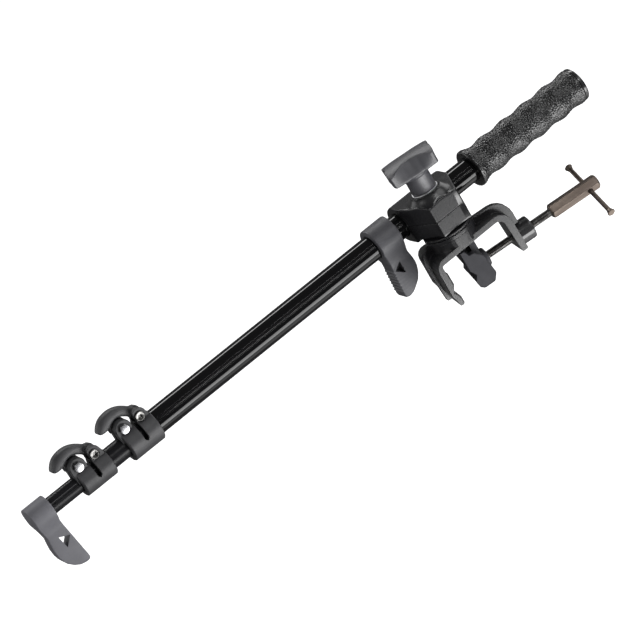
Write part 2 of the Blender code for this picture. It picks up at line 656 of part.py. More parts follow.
def build_grip(boom, foam, plastic):
    """The waved hand grip and the end cap that closes the main tube."""
    length = GRIP_RIGHT_X - GRIP_LEFT_X
    bore = MAIN_RADIUS + GAP
    profile = [(bore, 0.0), (17.6, 0.0), (18.9, 1.2), (19.0, 4.0)]
    steps = 20
    for k in range(steps + 1):
        share = k / steps
        wave = GRIP_WAVE * math.cos(2 * math.pi * GRIP_WAVES * share)
        swell = 1.3 * (1 - smooth_step(share / 0.14)) + 0.4 * share
        profile.append((GRIP_RADIUS + wave + swell, 7.0 + (length - 8.0) * share))
    profile += [(17.4, length), (bore, length), (bore, 0.0)]
    add_object("grip", turned_mesh("grip", profile, (GRIP_LEFT_X, 0, 0), (1, 0, 0), 20), boom, foam)
    plug = MAIN_RADIUS - MAIN_WALL - GROOVE_DEPTH - GAP
    cap = [(0.0, -12.0), (plug, -12.0), (plug, GAP), (17.3, GAP), (17.7, 0.9), (17.7, 3.2), (16.8, 4.3),
           (14.2, 4.5), (13.6, 3.6), (0.0, 3.6)]
    add_object("grip_end_cap", turned_mesh("cap", cap, (GRIP_RIGHT_X, 0, 0), (1, 0, 0), 20), boom, plastic)


def ear_outline(x, ear_z, outer, radius):
    """An ear seen from the side: a round boss on a web that stands on the sleeve."""
    side = math.copysign(1.0, outer - x)
    arc = [(x - side * EAR_RADIUS * math.cos(a), ear_z + EAR_RADIUS * math.sin(a))
           for a in (math.pi * k / 6 for k in range(7))]
    foot = [(x - side * EAR_RADIUS, 2.0)]
    end = [(x + side * EAR_RADIUS, 2.0)]
    if abs(outer - x) > EAR_RADIUS:
        end = [(outer, radius - 3.0), (outer, 2.0)]
    return foot + arc + end


def build_collar(name, parent, material, radius, left_bore, right_bore, slot_x, ear_z):
    """A lock's collar: a stepped sleeve, two ears above it and the slot that parts its halves."""
    left = slot_x - LOCK_HALF_LENGTH_LEFT
    right = left + LOCK_LENGTH
    sleeve = [(0.0, left), (radius - 1.0, left), (radius, left + 1.0), (radius, right - 1.0),
              (radius - 1.0, right), (0.0, right)]
    collar = add_object(name, turned_mesh(name, sleeve, (0, 0, 0), (1, 0, 0), 24), parent, material)
    for side, dx, outer in (("left", EAR_LEFT_DX, left + 0.7), ("right", EAR_RIGHT_DX, right - 0.7)):
        outline = ear_outline(slot_x + dx, ear_z, outer, radius)
        join(collar, plate_mesh("ear", outline, "XZ", 0.0, EAR_HALF_WIDTH), f"{side}_ear")
    bore = [(0.0, left - 5), (left_bore, left - 5), (left_bore, slot_x), (right_bore, slot_x),
            (right_bore, right + 5), (0.0, right + 5)]
    cut(collar, turned_mesh("bore", bore, (0, 0, 0), (1, 0, 0), 22), "bore")
    half_slot = LOCK_SLOT_WIDTH / 2
    slot = [(slot_x - half_slot, 40.0), (slot_x - half_slot, -1.0), (slot_x, -1.0 - half_slot),
            (slot_x + half_slot, -1.0), (slot_x + half_slot, 40.0)]
    cut(collar, plate_mesh("slot", slot, "XZ", 0.0, 30.0), "slot")
    split = box_mesh("split", (left - 5, -1.3, 5.0), (slot_x, 1.3, 60.0))
    cut(collar, split, "split")
    room = LEVER_HUB_HALF_WIDTH + 0.4
    cut(collar, box_mesh("fork", (slot_x, -room, ear_z - HUB_RADIUS - 0.4), (right + 20, room, 60.0)), "fork")
    for side, dx in (("left", EAR_LEFT_DX), ("right", EAR_RIGHT_DX)):
        seat = EAR_HALF_WIDTH - 0.1
        hole = [(0.0, -20.0), (5.5, -20.0), (5.5, -seat), (PIN_RADIUS + GAP, -seat), (PIN_RADIUS + GAP, seat),
                (5.5, seat), (5.5, 20.0), (0.0, 20.0)]
        cut(collar, turned_mesh("hole", hole, (slot_x + dx, 0, ear_z), (0, 1, 0), 12), f"{side}_hole")


def lever_outline():
    """The crescent seen from the side, about the pivot pin."""
    return filleted([
        (-5.0, 9.6, 2.0), (-6.0, 16.6, 5.0), (-15.0, 20.0, 14.0), (-26.0, 20.2, 14.0), (-35.6, 16.6, 8.0),
        (-40.8, 9.0, 3.0), (-38.6, 5.4, 1.2), (-29.6, 4.0, 1.0), (-27.8, 10.4, 4.0), (-21.0, 13.2, 5.0),
        (-14.6, 11.4, 3.0), (-10.0, 5.0, 0.5)], steps=2)


def build_lever(name, parent, material):
    """A cam lever: a ribbed crescent over the left ear, pocketed at both sides, on a narrow hub."""
    lever = add_object(name, plate_mesh(name, lever_outline(), "XZ", 0.0, LEVER_HALF_WIDTH), parent, material)
    bevel(lever, 0.7, 1, 60.0)
    hub = filleted([(-14.0, 14.0, 0.0), (-9.0, -1.0, 2.0), (-HUB_RADIUS, -HUB_RADIUS, 3.0),
                    (HUB_RADIUS, -HUB_RADIUS, HUB_RADIUS), (HUB_RADIUS, 5.0, 3.0), (-4.0, 13.0, 2.0)], steps=2)
    join(lever, plate_mesh("hub", hub, "XZ", 0.0, LEVER_HUB_HALF_WIDTH), "hub")
    pocket = filleted([(-10.0, 14.4, 0.6), (-17.0, 17.4, 6.0), (-26.0, 17.8, 6.0), (-33.2, 15.0, 3.0),
                       (-37.2, 9.4, 1.0), (-31.4, 7.2, 0.8), (-30.0, 12.2, 2.0), (-21.0, 15.2, 3.0),
                       (-12.8, 13.0, 0.6)], steps=1)
    for side, y in (("near", -LEVER_HALF_WIDTH), ("far", LEVER_HALF_WIDTH)):
        cut(lever, plate_mesh("pocket", pocket, "XZ", y, 3.6), f"{side}_pocket")
    cut(lever, rod_mesh("hole", (0, -20, 0), (0, 20, 0), PIN_RADIUS + 0.3, segments=12), "hole")


def hexagon_prism(name, radius, low, high):
    """A hexagonal nut or head along Y."""
    return plate_mesh(name, regular_loop(radius, 6), "XZ", (low + high) / 2, (high - low) / 2)


def build_lock_fasteners(number, parent, steel, slot_x, ear_z):
    """The lever's pivot screw and the clamp bolt with its nut."""
    face = EAR_HALF_WIDTH + GAP
    pivot = slot_x + EAR_RIGHT_DX
    profile = [(0.0, -face - 1.0), (4.3, -face - 1.0), (4.7, -face - 0.6), (4.7, -face), (PIN_RADIUS, -face),
               (PIN_RADIUS, face), (4.3, face), (4.3, face + 0.8), (0.0, face + 0.8)]
    pin = add_object(f"lock_{number}_lever_pin", turned_mesh("pin", profile, (pivot, 0, ear_z), (0, 1, 0), 12),
                     parent, steel)
    socket = rod_mesh("socket", (pivot, -face - 3, ear_z), (pivot, -face - 0.3 + 1.6, ear_z), 2.2, segments=6)
    cut(pin, socket, "socket")
    bolt_x = slot_x + EAR_LEFT_DX
    bolt = add_object(f"lock_{number}_clamp_bolt",
                      rod_mesh("bolt", (bolt_x, -face - 1, ear_z), (bolt_x, face + 4.2, ear_z), PIN_RADIUS,
                               segments=12), parent, steel)
    head = hexagon_prism("head", 5.2, -face - 3.0, -face)
    head.transform(Matrix.Translation(Vector((bolt_x, 0, ear_z)) * MM))
    join(bolt, head, "head")
    bore = regular_loop(PIN_RADIUS + GAP, 12)
    nut = plate_mesh("nut", regular_loop(5.2, 6), "XZ", face + 1.9, 1.9, [bore])
    nut.transform(Matrix.Translation(Vector((bolt_x, 0, ear_z)) * MM))
    add_object(f"lock_{number}_clamp_nut", nut, parent, steel)


def build_end_hook(inner, material, steel):
    """The fixed hook on the inner tube's end and the screw that holds it."""
    left, right = END_HOOK_LEFT_X, END_HOOK_RIGHT_X
    profile = [(0.0, left), (END_HOOK_RADIUS - 1.0, left), (END_HOOK_RADIUS, left + 1.0),
               (END_HOOK_RADIUS, right - 0.5), (END_HOOK_RADIUS - 0.5, right), (0.0, right)]
    hook = add_object("end_hook", turned_mesh("ring", profile, (0, 0, 0), (1, 0, 0), 28), inner, material)
    tongue = filleted([
        (-451.0, 0.0, 0.0), (-451.4, -5.0, 0.0), (-446.0, -57.0, 1.5), (-445.6, -61.4, 3.0),
        (-453.0, -62.4, 8.0), (-464.6, -57.6, 16.0), (-470.6, -46.5, 16.0), (-471.6, -34.0, 14.0),
        (-469.4, -22.0, 12.0), (-472.4, -6.0, 8.0), (-472.4, 0.0, 0.0)], steps=2)
    join(hook, plate_mesh("tongue", tongue, "XZ", 0.0, END_HOOK_THICKNESS / 2), "tongue")
    window = [(-460.4, -26.0), (-458.4, -39.1), (-450.2, -30.8)]
    cut(hook, plate_mesh("window", window, "XZ", 0.0, 20.0), "window")
    cut(hook, rod_mesh("bore", (left + 8, 0, 0), (right + 5, 0, 0), INNER_RADIUS + GAP, segments=26), "bore")
    screw_x = left + 15.0
    cut(hook, rod_mesh("screw_hole", (screw_x, 9.2, 0), (screw_x, 30, 0), 2.3, segments=16), "screw_hole")
    head = [(0.0, 9.4), (2.0, 9.4), (2.0, END_HOOK_RADIUS - 0.4), (0.0, END_HOOK_RADIUS - 0.4)]
    add_object("end_hook_screw", turned_mesh("screw", head, (screw_x, 0, 0), (0, 1, 0), 16), inner, steel)


def build_sliding_hook(hook_body, material):
    """The hook that slides on the main tube, with a serrated gripping edge."""
    left, right = SLIDING_HOOK_LEFT_X, SLIDING_HOOK_RIGHT_X
    profile = [(0.0, left), (SLIDING_HOOK_RADIUS - 2.0, left), (SLIDING_HOOK_RADIUS - 0.6, left + 0.6),
               (SLIDING_HOOK_RADIUS, left + 2.0), (SLIDING_HOOK_RADIUS, right - 2.0),
               (SLIDING_HOOK_RADIUS - 0.6, right - 0.6), (SLIDING_HOOK_RADIUS - 2.0, right), (0.0, right)]
    hook = add_object("sliding_hook", turned_mesh("ring", profile, (0, 0, 0), (1, 0, 0), 24), hook_body, material)
    ribs = []
    for k in range(7):
        z = -52.0 + 3.4 * k
        edge = -62.0 - 0.079 * (z + 54.0) + 2.0 * 0.079 * (z + 54.0)
        ribs += [(edge, z, 0.0), (edge - 0.9, z + 1.5, 0.0), (edge, z + 2.2, 0.0)]
    tongue = filleted([
        *ribs, (-59.0, -16.0, 0.0), (-58.0, 0.0, 0.0), (-38.0, 0.0, 0.0), (-38.0, -19.0, 6.0),
        (-35.0, -29.0, 10.0), (-35.6, -38.0, 10.0), (-41.0, -50.0, 10.0), (-55.0, -59.2, 5.0),
        (-61.0, -57.6, 1.0)], steps=2)
    join(hook, plate_mesh("tongue", tongue, "XZ", 0.0, SLIDING_HOOK_THICKNESS / 2), "tongue")
    window = [(-49.1, -23.7), (-49.2, -37.0), (-58.0, -29.6)]
    cut(hook, plate_mesh("window", window, "XZ", 0.0, 20.0), "window")
    cut(hook, rod_mesh("bore", (left - 5, 0, 0), (right + 5, 0, 0), MAIN_RADIUS + GAP, segments=26), "bore")


def build_boom(boom, middle, inner, hook_body, levers, materials):
    """The telescopic boom: three tubes, two flip locks, the grip and the hooks."""
    black, satin, rubber, steel, foam, grey = materials
    slot_2 = LOCK_2_SLOT_X + LOCK_SLOT_WIDTH / 2
    slot_1 = LOCK_1_SLOT_X + LOCK_SLOT_WIDTH / 2
    build_tube("main_tube", boom, black, MAIN_RADIUS, MAIN_WALL, GROOVE_DEPTH, slot_2, MAIN_RIGHT_X)
    build_tube("middle_tube", middle, satin, MIDDLE_RADIUS, MIDDLE_WALL, 0.0, slot_1, MIDDLE_RIGHT_X)
    build_tube("inner_tube", inner, black, INNER_RADIUS, INNER_WALL, GROOVE_DEPTH,
               END_HOOK_LEFT_X + 8.4, INNER_RIGHT_X)
    build_bush("middle_tube_bush", middle, rubber, MIDDLE_RIGHT_X, MIDDLE_RADIUS - MIDDLE_WALL,
               MAIN_RADIUS - MAIN_WALL - GROOVE_DEPTH - 0.2, 7.0)
    build_bush("inner_tube_bush", inner, rubber, INNER_RIGHT_X, INNER_RADIUS - INNER_WALL - GROOVE_DEPTH,
               MIDDLE_RADIUS - MIDDLE_WALL - 0.2, 5.0)
    build_grip(boom, foam, rubber)
    build_collar("lock_2_collar", boom, rubber, LOCK_2_RADIUS, MIDDLE_RADIUS + GAP, MAIN_RADIUS + GAP,
                 LOCK_2_SLOT_X, LOCK_2_EAR_Z)
    build_collar("lock_1_collar", middle, rubber, LOCK_1_RADIUS, INNER_RADIUS + GAP, MIDDLE_RADIUS + GAP,
                 LOCK_1_SLOT_X, LOCK_1_EAR_Z)
    build_lock_fasteners(2, boom, steel, LOCK_2_SLOT_X, LOCK_2_EAR_Z)
    build_lock_fasteners(1, middle, steel, LOCK_1_SLOT_X, LOCK_1_EAR_Z)
    build_lever("lock_2_lever", levers[1], rubber)
    build_lever("lock_1_lever", levers[0], rubber)
    build_end_hook(inner, grey, steel)
    build_sliding_hook(hook_body, grey)


def build():
    """Build every piece on the empty of its body."""
    clear_scene()
    make_collections()
    casting = make_material("cast_black_paint", (0.035, 0.035, 0.038), 0.45, 0.0)
    steel = make_material("zinc_plated_steel", (0.55, 0.55, 0.56), 0.3, 1.0)
    dark_steel = make_material("blackened_steel", (0.06, 0.055, 0.05), 0.35, 0.9)
    black = make_material("black_anodised_aluminium", (0.012, 0.012, 0.013), 0.22, 0.6)
    satin = make_material("satin_black_aluminium", (0.02, 0.02, 0.022), 0.45, 0.6)
    plastic = make_material("grey_black_nylon", (0.06, 0.06, 0.065), 0.5, 0.0)
    jaw_grey = make_material("jaw_nylon", (0.055, 0.055, 0.062), 0.6, 0.0)
    hook_grey = make_material("hook_nylon", (0.12, 0.12, 0.13), 0.55, 0.0)
    rubber = make_material("black_nylon", (0.02, 0.02, 0.022), 0.45, 0.0)
    foam = make_material("black_leatherette", (0.015, 0.015, 0.016), 0.6, 0.0)
    root = frame_empty("clamp_body", None, (0, 0, 0))
    jaw = frame_empty("jaw_body", root, (0, 0, 0))
    screw = frame_empty("screw_body", jaw, (0, 0, SCREW_Z))
    bar = frame_empty("tommy_body", screw, (TOMMY_X, 0, 0))
    arm = frame_empty("head_body", root, (SWIVEL_X, 0, FRAME_HEIGHT), SWIVEL_TURN)
    lift = frame_empty("knob_lift_body", arm, (0, 0, 0))
    knob = frame_empty("knob_body", lift, (0, 0, 0), KNOB_TURN)
    boom = frame_empty("boom_body", arm, (0, BOOM_Y, 0))
    middle = frame_empty("middle_body", boom, (0, 0, 0))
    inner = frame_empty("inner_body", middle, (0, 0, 0))
    hook_body = frame_empty("sliding_hook_body", boom, (0, 0, 0))
    lever_1 = frame_empty("lever_1_body", middle, (LOCK_1_SLOT_X + EAR_RIGHT_DX, 0, LOCK_1_EAR_Z))
    lever_2 = frame_empty("lever_2_body", boom, (LOCK_2_SLOT_X + EAR_RIGHT_DX, 0, LOCK_2_EAR_Z))
    build_clamp_frame(root, casting)
    build_fixed_jaw_pad(root, rubber)
    build_swivel(root, arm, steel, casting)
    build_moving_jaw(jaw, jaw_grey)
    build_spindle(screw, steel, dark_steel)
    build_tommy_bar(bar, dark_steel)
    build_head(arm, casting)
    build_knob(lift, knob, plastic, steel)
    build_boom(boom, middle, inner, hook_body, (lever_1, lever_2),
               (black, satin, rubber, steel, foam, hook_grey))


build()
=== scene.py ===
"""Looks of a telescopic boom arm with a grip head on a screw clamp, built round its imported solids.

Lengths are in millimetres and meshes are written in world metres. The arm's own frame has its
origin on the swivel's axis at the boom's height, with x along the boom and z up the swivel.
"""

import json
import logging
import math
from collections.abc import Sequence
from dataclasses import dataclass, field
from enum import Enum

import bmesh
import bpy
import numpy as np
from mathutils import Matrix, Vector


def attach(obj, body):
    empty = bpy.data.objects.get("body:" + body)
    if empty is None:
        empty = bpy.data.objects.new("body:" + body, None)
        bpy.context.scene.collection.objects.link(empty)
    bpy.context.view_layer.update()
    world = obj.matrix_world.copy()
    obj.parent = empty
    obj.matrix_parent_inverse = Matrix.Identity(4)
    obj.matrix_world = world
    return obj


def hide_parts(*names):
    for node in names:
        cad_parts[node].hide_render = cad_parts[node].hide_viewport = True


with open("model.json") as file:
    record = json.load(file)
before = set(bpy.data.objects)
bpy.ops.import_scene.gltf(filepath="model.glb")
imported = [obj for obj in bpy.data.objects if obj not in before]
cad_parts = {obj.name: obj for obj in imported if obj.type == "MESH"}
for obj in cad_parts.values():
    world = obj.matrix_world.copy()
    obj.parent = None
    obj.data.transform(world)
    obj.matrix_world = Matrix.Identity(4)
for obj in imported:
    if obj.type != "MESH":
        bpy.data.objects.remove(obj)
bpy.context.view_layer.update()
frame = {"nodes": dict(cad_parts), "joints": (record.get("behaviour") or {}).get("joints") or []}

LOG = logging.getLogger("boom_arm")

MM = 0.001
TURN = 2 * math.pi
JOINTS = {joint["name"]: joint for joint in frame["joints"]}
KNOB_TURN = math.radians(-13.0)
BOOM_Y = 31.0
MAIN_RADIUS = 12.5
# A CAD mesh's points are merged within this distance in metres, and its facets within this angle
MERGE_DISTANCE = 0.000002
FACET_ANGLE = math.radians(1.0)
# Edges of a softened piece that turn by more are rounded, and its large faces stay flat to the eye
ROUNDED_ANGLE = math.radians(35.0)
FLAT_FACE_WEIGHT = 80
# A corner whose half angle is wider than this, in radians, is straight
STRAIGHT_HALF = 1.56
# Share of a ring that stands for its middle, where a cap closes
POLE = 0.02
# Steps round a drilled hole, round a turned piece whose rim shows, and along an arc of plate
HOLE_STEPS = 72
RIM_STEPS = 96
ARC_STEPS = 48
# Where a noise's values mostly lie: the whole spread, and its steeper middle for the two tones
NOISE_SPREAD = (0.3, 0.7)
TONE_STOPS = (0.35, 0.65)

Pair = tuple[float, float]
Point = tuple[float, float, float]
Chain = tuple[Pair, ...]
Rows = Sequence[tuple[float | np.ndarray, float | np.ndarray]] | np.ndarray


class Slot(Enum):
    """The material slots of the record."""

    CAST_PAINT = "cast_paint"
    ZINC_STEEL = "zinc_steel"
    BLACKENED_STEEL = "blackened_steel"
    GLOSS_TUBE = "gloss_tube"
    SATIN_TUBE = "satin_tube"
    KNOB_NYLON = "knob_nylon"
    JAW_NYLON = "jaw_nylon"
    HOOK_NYLON = "hook_nylon"
    BLACK_NYLON = "black_nylon"
    GRIP_SKIN = "grip_skin"


class Axis(Enum):
    """The axis that a shape goes round, then the axes of its cosine and its sine."""

    X = (0, 1, 2)
    Y = (1, 0, 2)
    Z = (2, 0, 1)


def linear(hex_colour: str) -> tuple[float, float, float, float]:
    """Turn an sRGB hex colour to linear light.

    Args:
        hex_colour: six hex digits after a hash.

    Returns:
        Red, green, blue and an alpha of one.
    """
    parts = [int(hex_colour[i:i + 2], 16) / 255 for i in (1, 3, 5)]
    light = [c / 12.92 if c <= 0.04045 else ((c + 0.055) / 1.055) ** 2.4 for c in parts]
    return (light[0], light[1], light[2], 1.0)


def add_node(tree: bpy.types.NodeTree, kind: str, inputs: dict | None = None,
             **settings: object) -> bpy.types.Node:
    """Add a node with its settings, its values and its links.

    Args:
        tree: the node tree.
        kind: the node's type.
        inputs: for each input socket's name or number, a value or the socket to link.
        settings: the node's own properties.

    Returns:
        The node.
    """
    node = tree.nodes.new(kind)
    for key, value in settings.items():
        setattr(node, key, value)
    for key, value in (inputs or {}).items():
        if isinstance(value, bpy.types.NodeSocket):
            tree.links.new(value, node.inputs[key])
        else:
            node.inputs[key].default_value = value
    return node


@dataclass(frozen=True)
class Place:
    """A sub-assembly's own frame in the world: an origin in millimetres and a turn."""

    origin: Point = (0.0, 0.0, 0.0)
    rotation: Matrix = field(default_factory=lambda: Matrix.Identity(3))

    def world(self, local: np.ndarray) -> np.ndarray:
        """Local millimetres as world metres: the turn, then the origin, then the scale."""
        return (local @ np.array(self.rotation).T + np.array(self.origin)) * MM

    def shifted(self, x: float, y: float, z: float, turn: float = 0.0) -> "Place":
        """A frame at a local point of this one, turned about the local z axis."""
        origin = np.array(self.rotation) @ np.array((x, y, z)) + np.array(self.origin)
        return Place(tuple(origin), self.rotation @ Matrix.Rotation(turn, 3, "Z"))


def arm_place() -> Place:
    """Read the arm's frame from the swivel joint and the direction in which the boom slides.

    Returns:
        The frame, with its origin on the swivel's axis.
    """
    along = Vector(JOINTS["boom_slide"]["axis"]).normalized()
    up = Vector(JOINTS["head_swivel"]["axis"]).normalized()
    rotation = Matrix((along, up.cross(along), up)).transposed()
    return Place(tuple(np.array(JOINTS["head_swivel"]["pos_m"]) / MM), rotation)


WORLD = Place()
ARM = arm_place()
BOOM = ARM.shifted(0.0, BOOM_Y, 0.0)
SCREW = Place((0.0, 0.0, JOINTS["spindle_turn"]["pos_m"][2] / MM))


def bearings(count: int) -> np.ndarray:
    """One turn divided evenly into a number of angles."""
    return np.arange(count) * TURN / count


def around(axis: Axis, radius: float | np.ndarray, along: float | np.ndarray,
           angle: np.ndarray) -> np.ndarray:
    """Points round an axis: the distance along it, and the radius times the angle's cosine and sine.

    Args:
        axis: the axis that they go round.
        radius: their distance from it.
        along: their distance along it.
        angle: their bearing about it.

    Returns:
        The points, in the shape that the arrays broadcast to.
    """
    parts = np.broadcast_arrays(along, radius * np.cos(angle), radius * np.sin(angle))
    points = np.empty((*parts[0].shape, 3))
    for place, part in zip(axis.value, parts):
        points[..., place] = part
    return points


def turned(rows: Rows, axis: Axis, segments: int, centre: Point = (0.0, 0.0, 0.0)) -> np.ndarray:
    """Carry a profile round an axis.

    Args:
        rows: radius and distance along the axis, each a number or a value for every bearing.
        axis: the axis that it goes round.
        segments: points in a turn.
        centre: the point that distances are counted from.

    Returns:
        A grid of points, one row for each of the profile's.
    """
    angle = bearings(segments)
    return np.stack([around(axis, radius, along, angle) for radius, along in rows]) + np.array(centre)


def rounded_profile(corners: Sequence[Point], steps: int = 4) -> np.ndarray:
    """A line of straight runs whose corners are arcs of their own radius.

    Args:
        corners: rows of the two coordinates and the corner's radius.
        steps: runs in each arc.

    Returns:
        Rows of the two coordinates.
    """
    points: list[np.ndarray] = [np.array(corners[0][:2])]
    for before, (u, v, radius), after in zip(corners, corners[1:-1], corners[2:]):
        here = np.array((u, v))
        back = np.array(before[:2]) - here
        ahead = np.array(after[:2]) - here
        back, ahead = back / np.linalg.norm(back), ahead / np.linalg.norm(ahead)
        half = math.acos(float(np.clip(back @ ahead, -1, 1))) / 2
        if radius == 0 or half > STRAIGHT_HALF:
            points.append(here)
            continue
        cut = radius / math.tan(half)
        share = np.linspace(0, 1, steps + 1)[:, None]
        start, end = here + back * cut, here + ahead * cut
        points.extend((1 - share) ** 2 * start + 2 * share * (1 - share) * here + share ** 2 * end)
    points.append(np.array(corners[-1][:2]))
    return np.array(points)


def even_outline(corners: Sequence[Point], spacing: float) -> np.ndarray:
    """A closed outline with rounded corners, divided into even steps that keep its own points.

    Args:
        corners: rows of the two coordinates and the corner's radius.
        spacing: the longest step.

    Returns:
        Rows of the two coordinates, the first not repeated.
    """
    middle = tuple((np.array(corners[-1][:2]) + np.array(corners[0][:2])) / 2)
    line = rounded_profile([(*middle, 0.0), *corners, (*middle, 0.0)], steps=5)
    length = np.concatenate([[0.0], np.cumsum(np.hypot(*np.diff(line, axis=0).T))])
    at = np.unique(np.concatenate([np.arange(0.0, length[-1] - spacing / 2, spacing), length[:-1]]).round(3))
    return np.stack([np.interp(at, length, line[:, 0]), np.interp(at, length, line[:, 1])], 1)


def smooth_step(value: np.ndarray) -> np.ndarray:
    """Rise from 0 to 1 with level ends: three squares less two cubes."""
    value = np.clip(value, 0.0, 1.0)
    return value * value * (3 - 2 * value)


def skin_mesh(name: str, grid: np.ndarray, place: Place, ring: bool = False) -> bpy.types.Mesh:
    """A closed skin over a grid whose columns go round.

    Each cell of the grid is one face. The first and last rows are closed by one face each, or
    joined to each other where the skin is a ring. The faces are turned outwards by the sign of
    the volume that they enclose.

    Args:
        name: the mesh's name.
        grid: rows by columns by three, local millimetres.
        place: the grid's frame.
        ring: whether the last row joins the first.

    Returns:
        The mesh, in world metres.
    """
    rows, columns = grid.shape[:2]
    index = np.arange(rows * columns).reshape(rows, columns)
    if ring:
        index = np.vstack([index, index[:1]])
    after = np.roll(index, -1, axis=1)
    quads = np.stack([index[:-1], after[:-1], after[1:], index[1:]], -1).reshape(-1, 4)
    points = place.world(grid.reshape(-1, 3))
    corner = points[quads]
    volume = np.einsum("ij,ij->", corner[:, 0], np.cross(corner[:, 1], corner[:, 2]))
    volume += np.einsum("ij,ij->", corner[:, 0], np.cross(corner[:, 2], corner[:, 3]))
    faces = quads.tolist()
    if not ring:
        for row in (index[0][::-1], index[-1]):
            ends = points[row]
            fan = np.cross(ends[1:-1], ends[2:])
            volume += float(np.sum(fan @ ends[0]))
            faces.append(row.tolist())
    if volume < 0:
        faces = [face[::-1] for face in faces]
    mesh = bpy.data.meshes.new(name)
    mesh.from_pydata(points.tolist(), [], faces)
    mesh.validate()
    return mesh


def in_scene(name: str, data: bpy.types.ID) -> bpy.types.Object:
    """Link new data to the scene, as an object at the origin.

    Args:
        name: the object's name.
        data: its mesh, lamp or camera.

    Returns:
        The object.
    """
    thing = bpy.data.objects.new(name, data)
    bpy.context.scene.collection.objects.link(thing)
    return thing


def skin_piece(name: str, grid: np.ndarray, place: Place, sharp: float = 35.0,
               ring: bool = False) -> bpy.types.Object:
    """A piece of one closed skin, smooth but for its sharp edges.

    Args:
        name: the piece's name.
        grid: rows by columns by three, local millimetres.
        place: the grid's frame.
        sharp: degrees between two faces from which their edge stays sharp.
        ring: whether the grid's last row joins the first.

    Returns:
        The piece.
    """
    mesh = skin_mesh(name, grid, place, ring)
    mesh.shade_smooth()
    mesh.set_sharp_from_angle(angle=math.radians(sharp))
    return in_scene(name, mesh)


def carve(piece: bpy.types.Object, cutter: bpy.types.Mesh) -> None:
    """Cut a closed mesh out of a piece, for good.

    Args:
        piece: the piece.
        cutter: the mesh, which is used up.
    """
    tool = in_scene("cutter", cutter)
    modifier = piece.modifiers.new("cut", "BOOLEAN")
    modifier.object = tool
    modifier.solver = "EXACT"
    graph = bpy.context.evaluated_depsgraph_get()
    result = bpy.data.meshes.new_from_object(piece.evaluated_get(graph))
    piece.modifiers.clear()
    piece.data = result
    bpy.data.objects.remove(tool)


def drill(piece: bpy.types.Object, radius: float, axis: Axis, span: Pair, place: Place) -> None:
    """Cut a round hole along an axis of a frame.

    Args:
        piece: the piece.
        radius: the hole's radius.
        axis: the frame's axis that it follows.
        span: where it starts and ends on that axis.
        place: the frame.
    """
    rows = [(radius, end) for end in span]
    carve(piece, skin_mesh("drill", turned(rows, axis, HOLE_STEPS), place))


def softened(node: str, width: float, segments: int = 3) -> bpy.types.Object:
    """A copy of a CAD node whose edges are rounded, as on a casting or moulding.

    Args:
        node: the CAD node.
        width: the rounding's width.
        segments: the rounding's steps.

    Returns:
        The new piece.
    """
    mesh = frame["nodes"][node].data.copy()
    work = bmesh.new()
    work.from_mesh(mesh)
    bmesh.ops.remove_doubles(work, verts=work.verts, dist=MERGE_DISTANCE)
    bmesh.ops.dissolve_limit(work, angle_limit=FACET_ANGLE, verts=work.verts, edges=work.edges)
    work.to_mesh(mesh)
    work.free()
    mesh.shade_smooth()
    piece = in_scene(f"{node}_rounded", mesh)
    bevel = piece.modifiers.new("rounding", "BEVEL")
    bevel.width = width * MM
    bevel.segments = segments
    bevel.limit_method = "ANGLE"
    bevel.angle_limit = ROUNDED_ANGLE
    bevel.use_clamp_overlap = False
    piece.modifiers.new("flat_faces", "WEIGHTED_NORMAL").weight = FLAT_FACE_WEIGHT
    return piece


